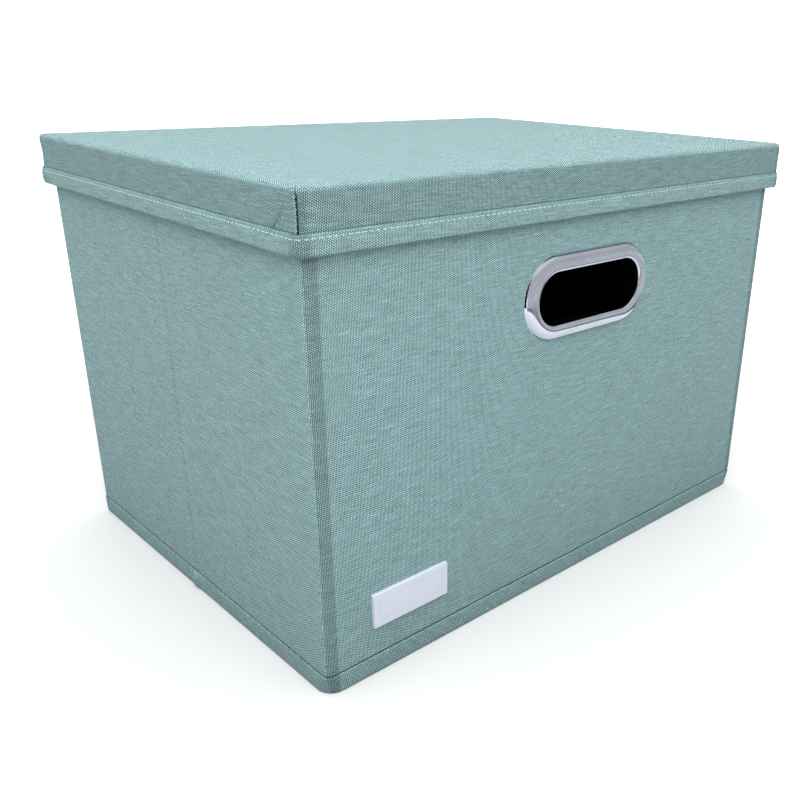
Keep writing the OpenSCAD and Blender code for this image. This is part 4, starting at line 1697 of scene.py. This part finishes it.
    def slit_paths(self) -> list[list[Vector]]:
        """Short paths across each corner slit, where single stitches hold the two cloths together."""
        paths = []
        for stop in (s for s in self.stops if s.slit < 0.01):
            sideways = Vector((-stop.normal.y, stop.normal.x, 0.0))
            rise = Vector((0.0, 0.0, 0.3 * MM))
            for share in self.SLIT_STITCHES:
                z = self.hem_top + share * (self.hi.z - 3.6 * MM - self.hem_top)
                middle = stop.at(self.skirt_swell(stop, z) - 0.1 * MM, z)
                paths.append([middle - sideways * 0.9 * MM, middle + sideways * 0.9 * MM + rise])
        return paths

    def build(self) -> None:
        """Build the lid's pieces."""
        self.build_cover()
        self.build_hem()
        self.build_boards()
        sizes = {"pitch": 3.7 * MM, "length": 2.9 * MM, "thick": 0.75 * MM}
        seam = RunningSeam("lid_hem_seam", self.stitch_paths(), **sizes)
        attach(dress(seam.build(), Stock.THREAD), "lid")
        sizes = {"pitch": 4.0 * MM, "length": 2.0 * MM, "thick": 0.65 * MM}
        closing = RunningSeam("lid_corner_stitches", self.slit_paths(), **sizes)
        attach(dress(closing.build(), Stock.DARK_THREAD), "lid")


@dataclass
class RunningSeam:
    """A row of stitches along paths, made with Geometry Nodes."""

    name: str
    paths: list[list[Vector]]
    pitch: float
    length: float
    thick: float

    TREE = "RunningSeam"

    @classmethod
    def tree(cls) -> bpy.types.NodeTree:
        """Return the tree, built on its first use, with the inputs Pitch, Length and Thick."""
        found = bpy.data.node_groups.get(cls.TREE)
        if found:
            return found
        tree = bpy.data.node_groups.new(cls.TREE, "GeometryNodeTree")
        for way in ("INPUT", "OUTPUT"):
            tree.interface.new_socket("Geometry", in_out=way, socket_type="NodeSocketGeometry")
        for label in ("Pitch", "Length", "Thick"):
            tree.interface.new_socket(label, in_out="INPUT", socket_type="NodeSocketFloat")
        g = Graph(tree)
        given = g.node("NodeGroupInput").outputs
        path = g.fed("GeometryNodeMeshToCurve", given["Geometry"])
        spots = g.node("GeometryNodeCurveToPoints", mode="LENGTH")
        g.feed_all(spots, {"Curve": path, "Length": given["Pitch"]})
        bead = g.node("GeometryNodeMeshUVSphere")
        g.feed_all(bead, {"Segments": 6, "Rings": 5, "Radius": 0.5})
        scale = g.vector(given["Thick"], given["Thick"], given["Length"])
        shaped = g.node("GeometryNodeTransform")
        g.feed_all(shaped, {"Geometry": bead.outputs[0], "Scale": scale})
        row = g.node("GeometryNodeInstanceOnPoints")
        g.feed_all(row, {name: spots.outputs[name] for name in ("Points", "Rotation")})
        g.feed(row.inputs["Instance"], shaped.outputs[0])
        g.output("NodeGroupOutput", "Geometry", g.fed("GeometryNodeRealizeInstances", row.outputs[0]))
        return tree

    def build(self) -> bpy.types.Object:
        """Lay the stitches along the paths, as one plain mesh."""
        points = [tuple(p) for path in self.paths for p in path]
        edges, at = [], 0
        for path in self.paths:
            edges += [(at + k, at + k + 1) for k in range(len(path) - 1)]
            at += len(path)
        mesh = bpy.data.meshes.new(f"{self.name}_path")
        mesh.from_pydata(points, edges, [])
        carrier = put_in_scene(f"{self.name}_path", mesh)
        modifier = carrier.modifiers.new("stitches", "NODES")
        modifier.node_group = self.tree()
        values = {"Pitch": self.pitch, "Length": self.length, "Thick": self.thick}
        for item in modifier.node_group.interface.items_tree:
            if item.in_out == "INPUT" and item.name in values:
                modifier[item.identifier] = values[item.name]
        stitched = with_modifiers(carrier)
        bpy.data.objects.remove(carrier, do_unlink=True)
        stitched.shade_smooth()
        return put_in_scene(self.name, stitched)


def dress_kept_nodes(names: Sequence[str]) -> None:
    """Give every node of the frame that stays as it is its own finish."""
    endings = {"_board": Stock.BOARD, "_lining": Stock.LINING, "_ring": Stock.CHROME}
    for name in names:
        node = bpy.data.objects.get(name)
        stock = next((stock for ending, stock in endings.items() if name.endswith(ending)), None)
        if node is None or stock is None or node.hide_render:
            continue
        stock.put_on(node)
        LOG.info("%s: kept, %s", name, stock.name.lower())


# ---- studio --------------------------------------------------------------------------------------------


@dataclass(frozen=True)
class Studio:
    """Camera, floor and soft light."""

    eye: tuple[float, float, float] = (-0.3901, -0.4587, 0.3087)
    azimuth: float = 44.979
    elevation: float = 22.351
    roll: float = 1.478
    lens: float = 39.677
    shift: Place2 = (-0.12178, 0.02541)
    zenith: float = 1.46
    horizon: float = 0.35
    key: float = 3.7
    key_size: float = 0.7
    key_at: tuple[float, float, float] = (-0.57, -0.72, 0.87)
    key_aim: tuple[float, float, float] = (0.0, 0.0, 0.15)
    painted_shadow_bounce: float = 0.16
    bounce_far: float = 0.5
    footprint: Place2 = (0.19, 0.14)
    floor_half: float = 30.0
    floor_white: float = 0.92
    screen_r: float = 0.4
    screen_gap: float = 0.01
    black_line: tuple[Place2, Place2] = ((-0.47, -0.38), (-0.5, -0.2))
    painted_shadow_fade: float = 0.22
    white_far: float = 0.8

    def camera(self) -> None:
        """Place the camera where the photograph was taken."""
        az, el, roll = (math.radians(a) for a in (self.azimuth, self.elevation, self.roll))
        forward = Vector((math.sin(az) * math.cos(el), math.cos(az) * math.cos(el), -math.sin(el)))
        right = Vector((math.cos(az), -math.sin(az), 0.0))
        up = right.cross(forward)
        level = right * math.cos(roll) + up * math.sin(roll)
        upright = up * math.cos(roll) - right * math.sin(roll)
        data = bpy.data.cameras.new("camera")
        data.lens = self.lens
        data.sensor_width = 36.0
        data.sensor_fit = "HORIZONTAL"
        data.shift_x, data.shift_y = self.shift
        data.clip_start = 0.01
        camera = put_in_scene("camera", data)
        turn = Matrix((level, upright, -forward)).transposed().to_4x4()
        camera.matrix_world = Matrix.Translation(Vector(self.eye)) @ turn
        bpy.context.scene.camera = camera

    def floor(self) -> None:
        """Lay the white floor, which looks darker to the light that bounces off it, darkest round the box's
        footprint: a painted shadow that only the bounced light sees.
        """
        r, z = self.floor_half, -FLOOR_DROP
        mesh = bpy.data.meshes.new("floor")
        mesh.from_pydata([(-r, -r, z), (r, -r, z), (r, r, z), (-r, r, z)], [], [(0, 1, 2, 3)])
        made, g = new_material("studio_floor")
        flat = g.parted(g.place())
        gaps = []
        for k, half in enumerate(self.footprint):
            gap = g.minus(g.math("ABSOLUTE", flat[k]), half)
            gaps.append(g.math("POWER", g.math("MAXIMUM", gap, 0.0), 2.0))
        away = g.math("SQRT", g.plus(*gaps))
        # Painted shadow: bounced light is darkest round the box's footprint, which darkens the walls near
        # the floor.
        near, far = (self.painted_shadow_bounce,) * 3, (self.bounce_far,) * 3
        bounce = g.blend(g.spread(away, 0.0, self.painted_shadow_fade), near, far)
        seen = self._seen(g)
        white = g.fed("ShaderNodeBsdfDiffuse", g.blend(seen, bounce, (self.floor_white,) * 3))
        glow = g.node("ShaderNodeEmission")
        g.feed(glow.inputs["Strength"], g.times(seen, g.spread(away, 0.1, self.white_far)))
        both = g.fed("ShaderNodeAddShader", white, glow.outputs[0])
        g.output("ShaderNodeOutputMaterial", "Surface", both)
        mesh.materials.append(made)
        put_in_scene("floor", mesh)

    @staticmethod
    def _seen(g: Graph) -> Socket:
        """Put out 1 for what the camera sees, also by way of metal or glass."""
        path = g.node("ShaderNodeLightPath")
        seen = g.math("MAXIMUM", path.outputs["Is Camera Ray"], path.outputs["Is Glossy Ray"])
        return g.math("MAXIMUM", seen, path.outputs["Is Transmission Ray"])

    def light(self) -> None:
        """Light the room softly from all round, with one broad lamp over the camera."""
        world = bpy.data.worlds.new("studio")
        bpy.context.scene.world = world
        world.use_nodes = True
        world.node_tree.nodes.clear()
        g = Graph(world.node_tree)
        up = g.spread(g.parted(g.place("Generated"))[2], 0.0, 0.9)
        dome = g.blend(up, (self.horizon,) * 3, (self.zenith,) * 3)
        sky = g.fed("ShaderNodeBackground", g.blend(self._seen(g), dome, (1.0, 1.0, 1.0)), 1.0)
        g.output("ShaderNodeOutputWorld", "Surface", sky)
        data = bpy.data.lights.new("key", "AREA")
        data.energy = self.key
        data.shape = "DISK"
        data.size = self.key_size
        lamp = put_in_scene("key", data)
        place = Vector(self.key_at)
        turn = (place - Vector(self.key_aim)).to_track_quat("Z", "Y").to_matrix().to_4x4()
        lamp.matrix_world = Matrix.Translation(place) @ turn
        lamp.visible_glossy = False
        lamp.visible_camera = False

    def screen(self, name: str, line: Sequence[Place2], height: float, shade: float) -> None:
        """Stand a dull screen on the floor that only shows in the chrome, as a photographer does.

        Args:
            name: Name of the screen.
            line: Places of its foot on the floor.
            height: Its height.
            shade: How bright it is.
        """
        points = [(x, y, z) for x, y in line for z in (0.0, height)]
        faces = [(2 * k, 2 * k + 2, 2 * k + 3, 2 * k + 1) for k in range(len(line) - 1)]
        mesh = bpy.data.meshes.new(name)
        mesh.from_pydata(points, [], faces)
        made, g = new_material(name)
        streaks = g.noise(g.stretched(g.place(), (2.0, 2.0, 30.0)))
        rise = g.spread(g.parted(g.place())[2], 0.0, 0.085, 0.2, 1.0)
        level = g.times(rise, g.spread(streaks, 0.35, 0.65, 0.75, 1.0))
        glow = g.fed("ShaderNodeEmission", g.blend(level, (0.0,) * 3, (shade, shade * 1.02, shade * 1.04)))
        g.output("ShaderNodeOutputMaterial", "Surface", glow)
        mesh.materials.append(made)
        card = put_in_scene(name, mesh)
        for kind in ("camera", "diffuse", "shadow", "transmission"):
            setattr(card, f"visible_{kind}", False)

    def build(self) -> None:
        """Set up the studio."""
        bpy.context.scene.view_settings.view_transform = "Standard"
        self.camera()
        self.floor()
        self.light()
        foot = self.footprint[1] + self.screen_gap
        for wall, sign in (("front", -1), ("back", 1)):
            line = []
            for turn in range(-60, 91, 10):
                angle = math.radians(turn)
                away = foot + self.screen_r * math.cos(angle)
                line.append((self.screen_r * math.sin(angle), sign * away))
            self.screen(f"{wall}_grey_screen", line, height=0.64, shade=0.75)
        self.screen("black_screen", self.black_line, height=1.2, shade=0.02)


def main() -> None:
    """Load the frame, build every piece of the box over it, and set up the studio."""
    logging.basicConfig(level=logging.INFO, format="%(name)s %(message)s")
    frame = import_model()
    sizes = BoxSizes.from_frame()
    Walls(sizes, Perimeter(sizes)).build()
    for wall in ("front", "back"):
        Handle.from_frame(wall).build()
    NamePlate(*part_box("name_plate")).build()
    Base().build()
    Lid.from_frame().build()
    dress_kept_nodes(sorted(frame["nodes"]))
    Studio().build()


if __name__ == "__main__":
    main()
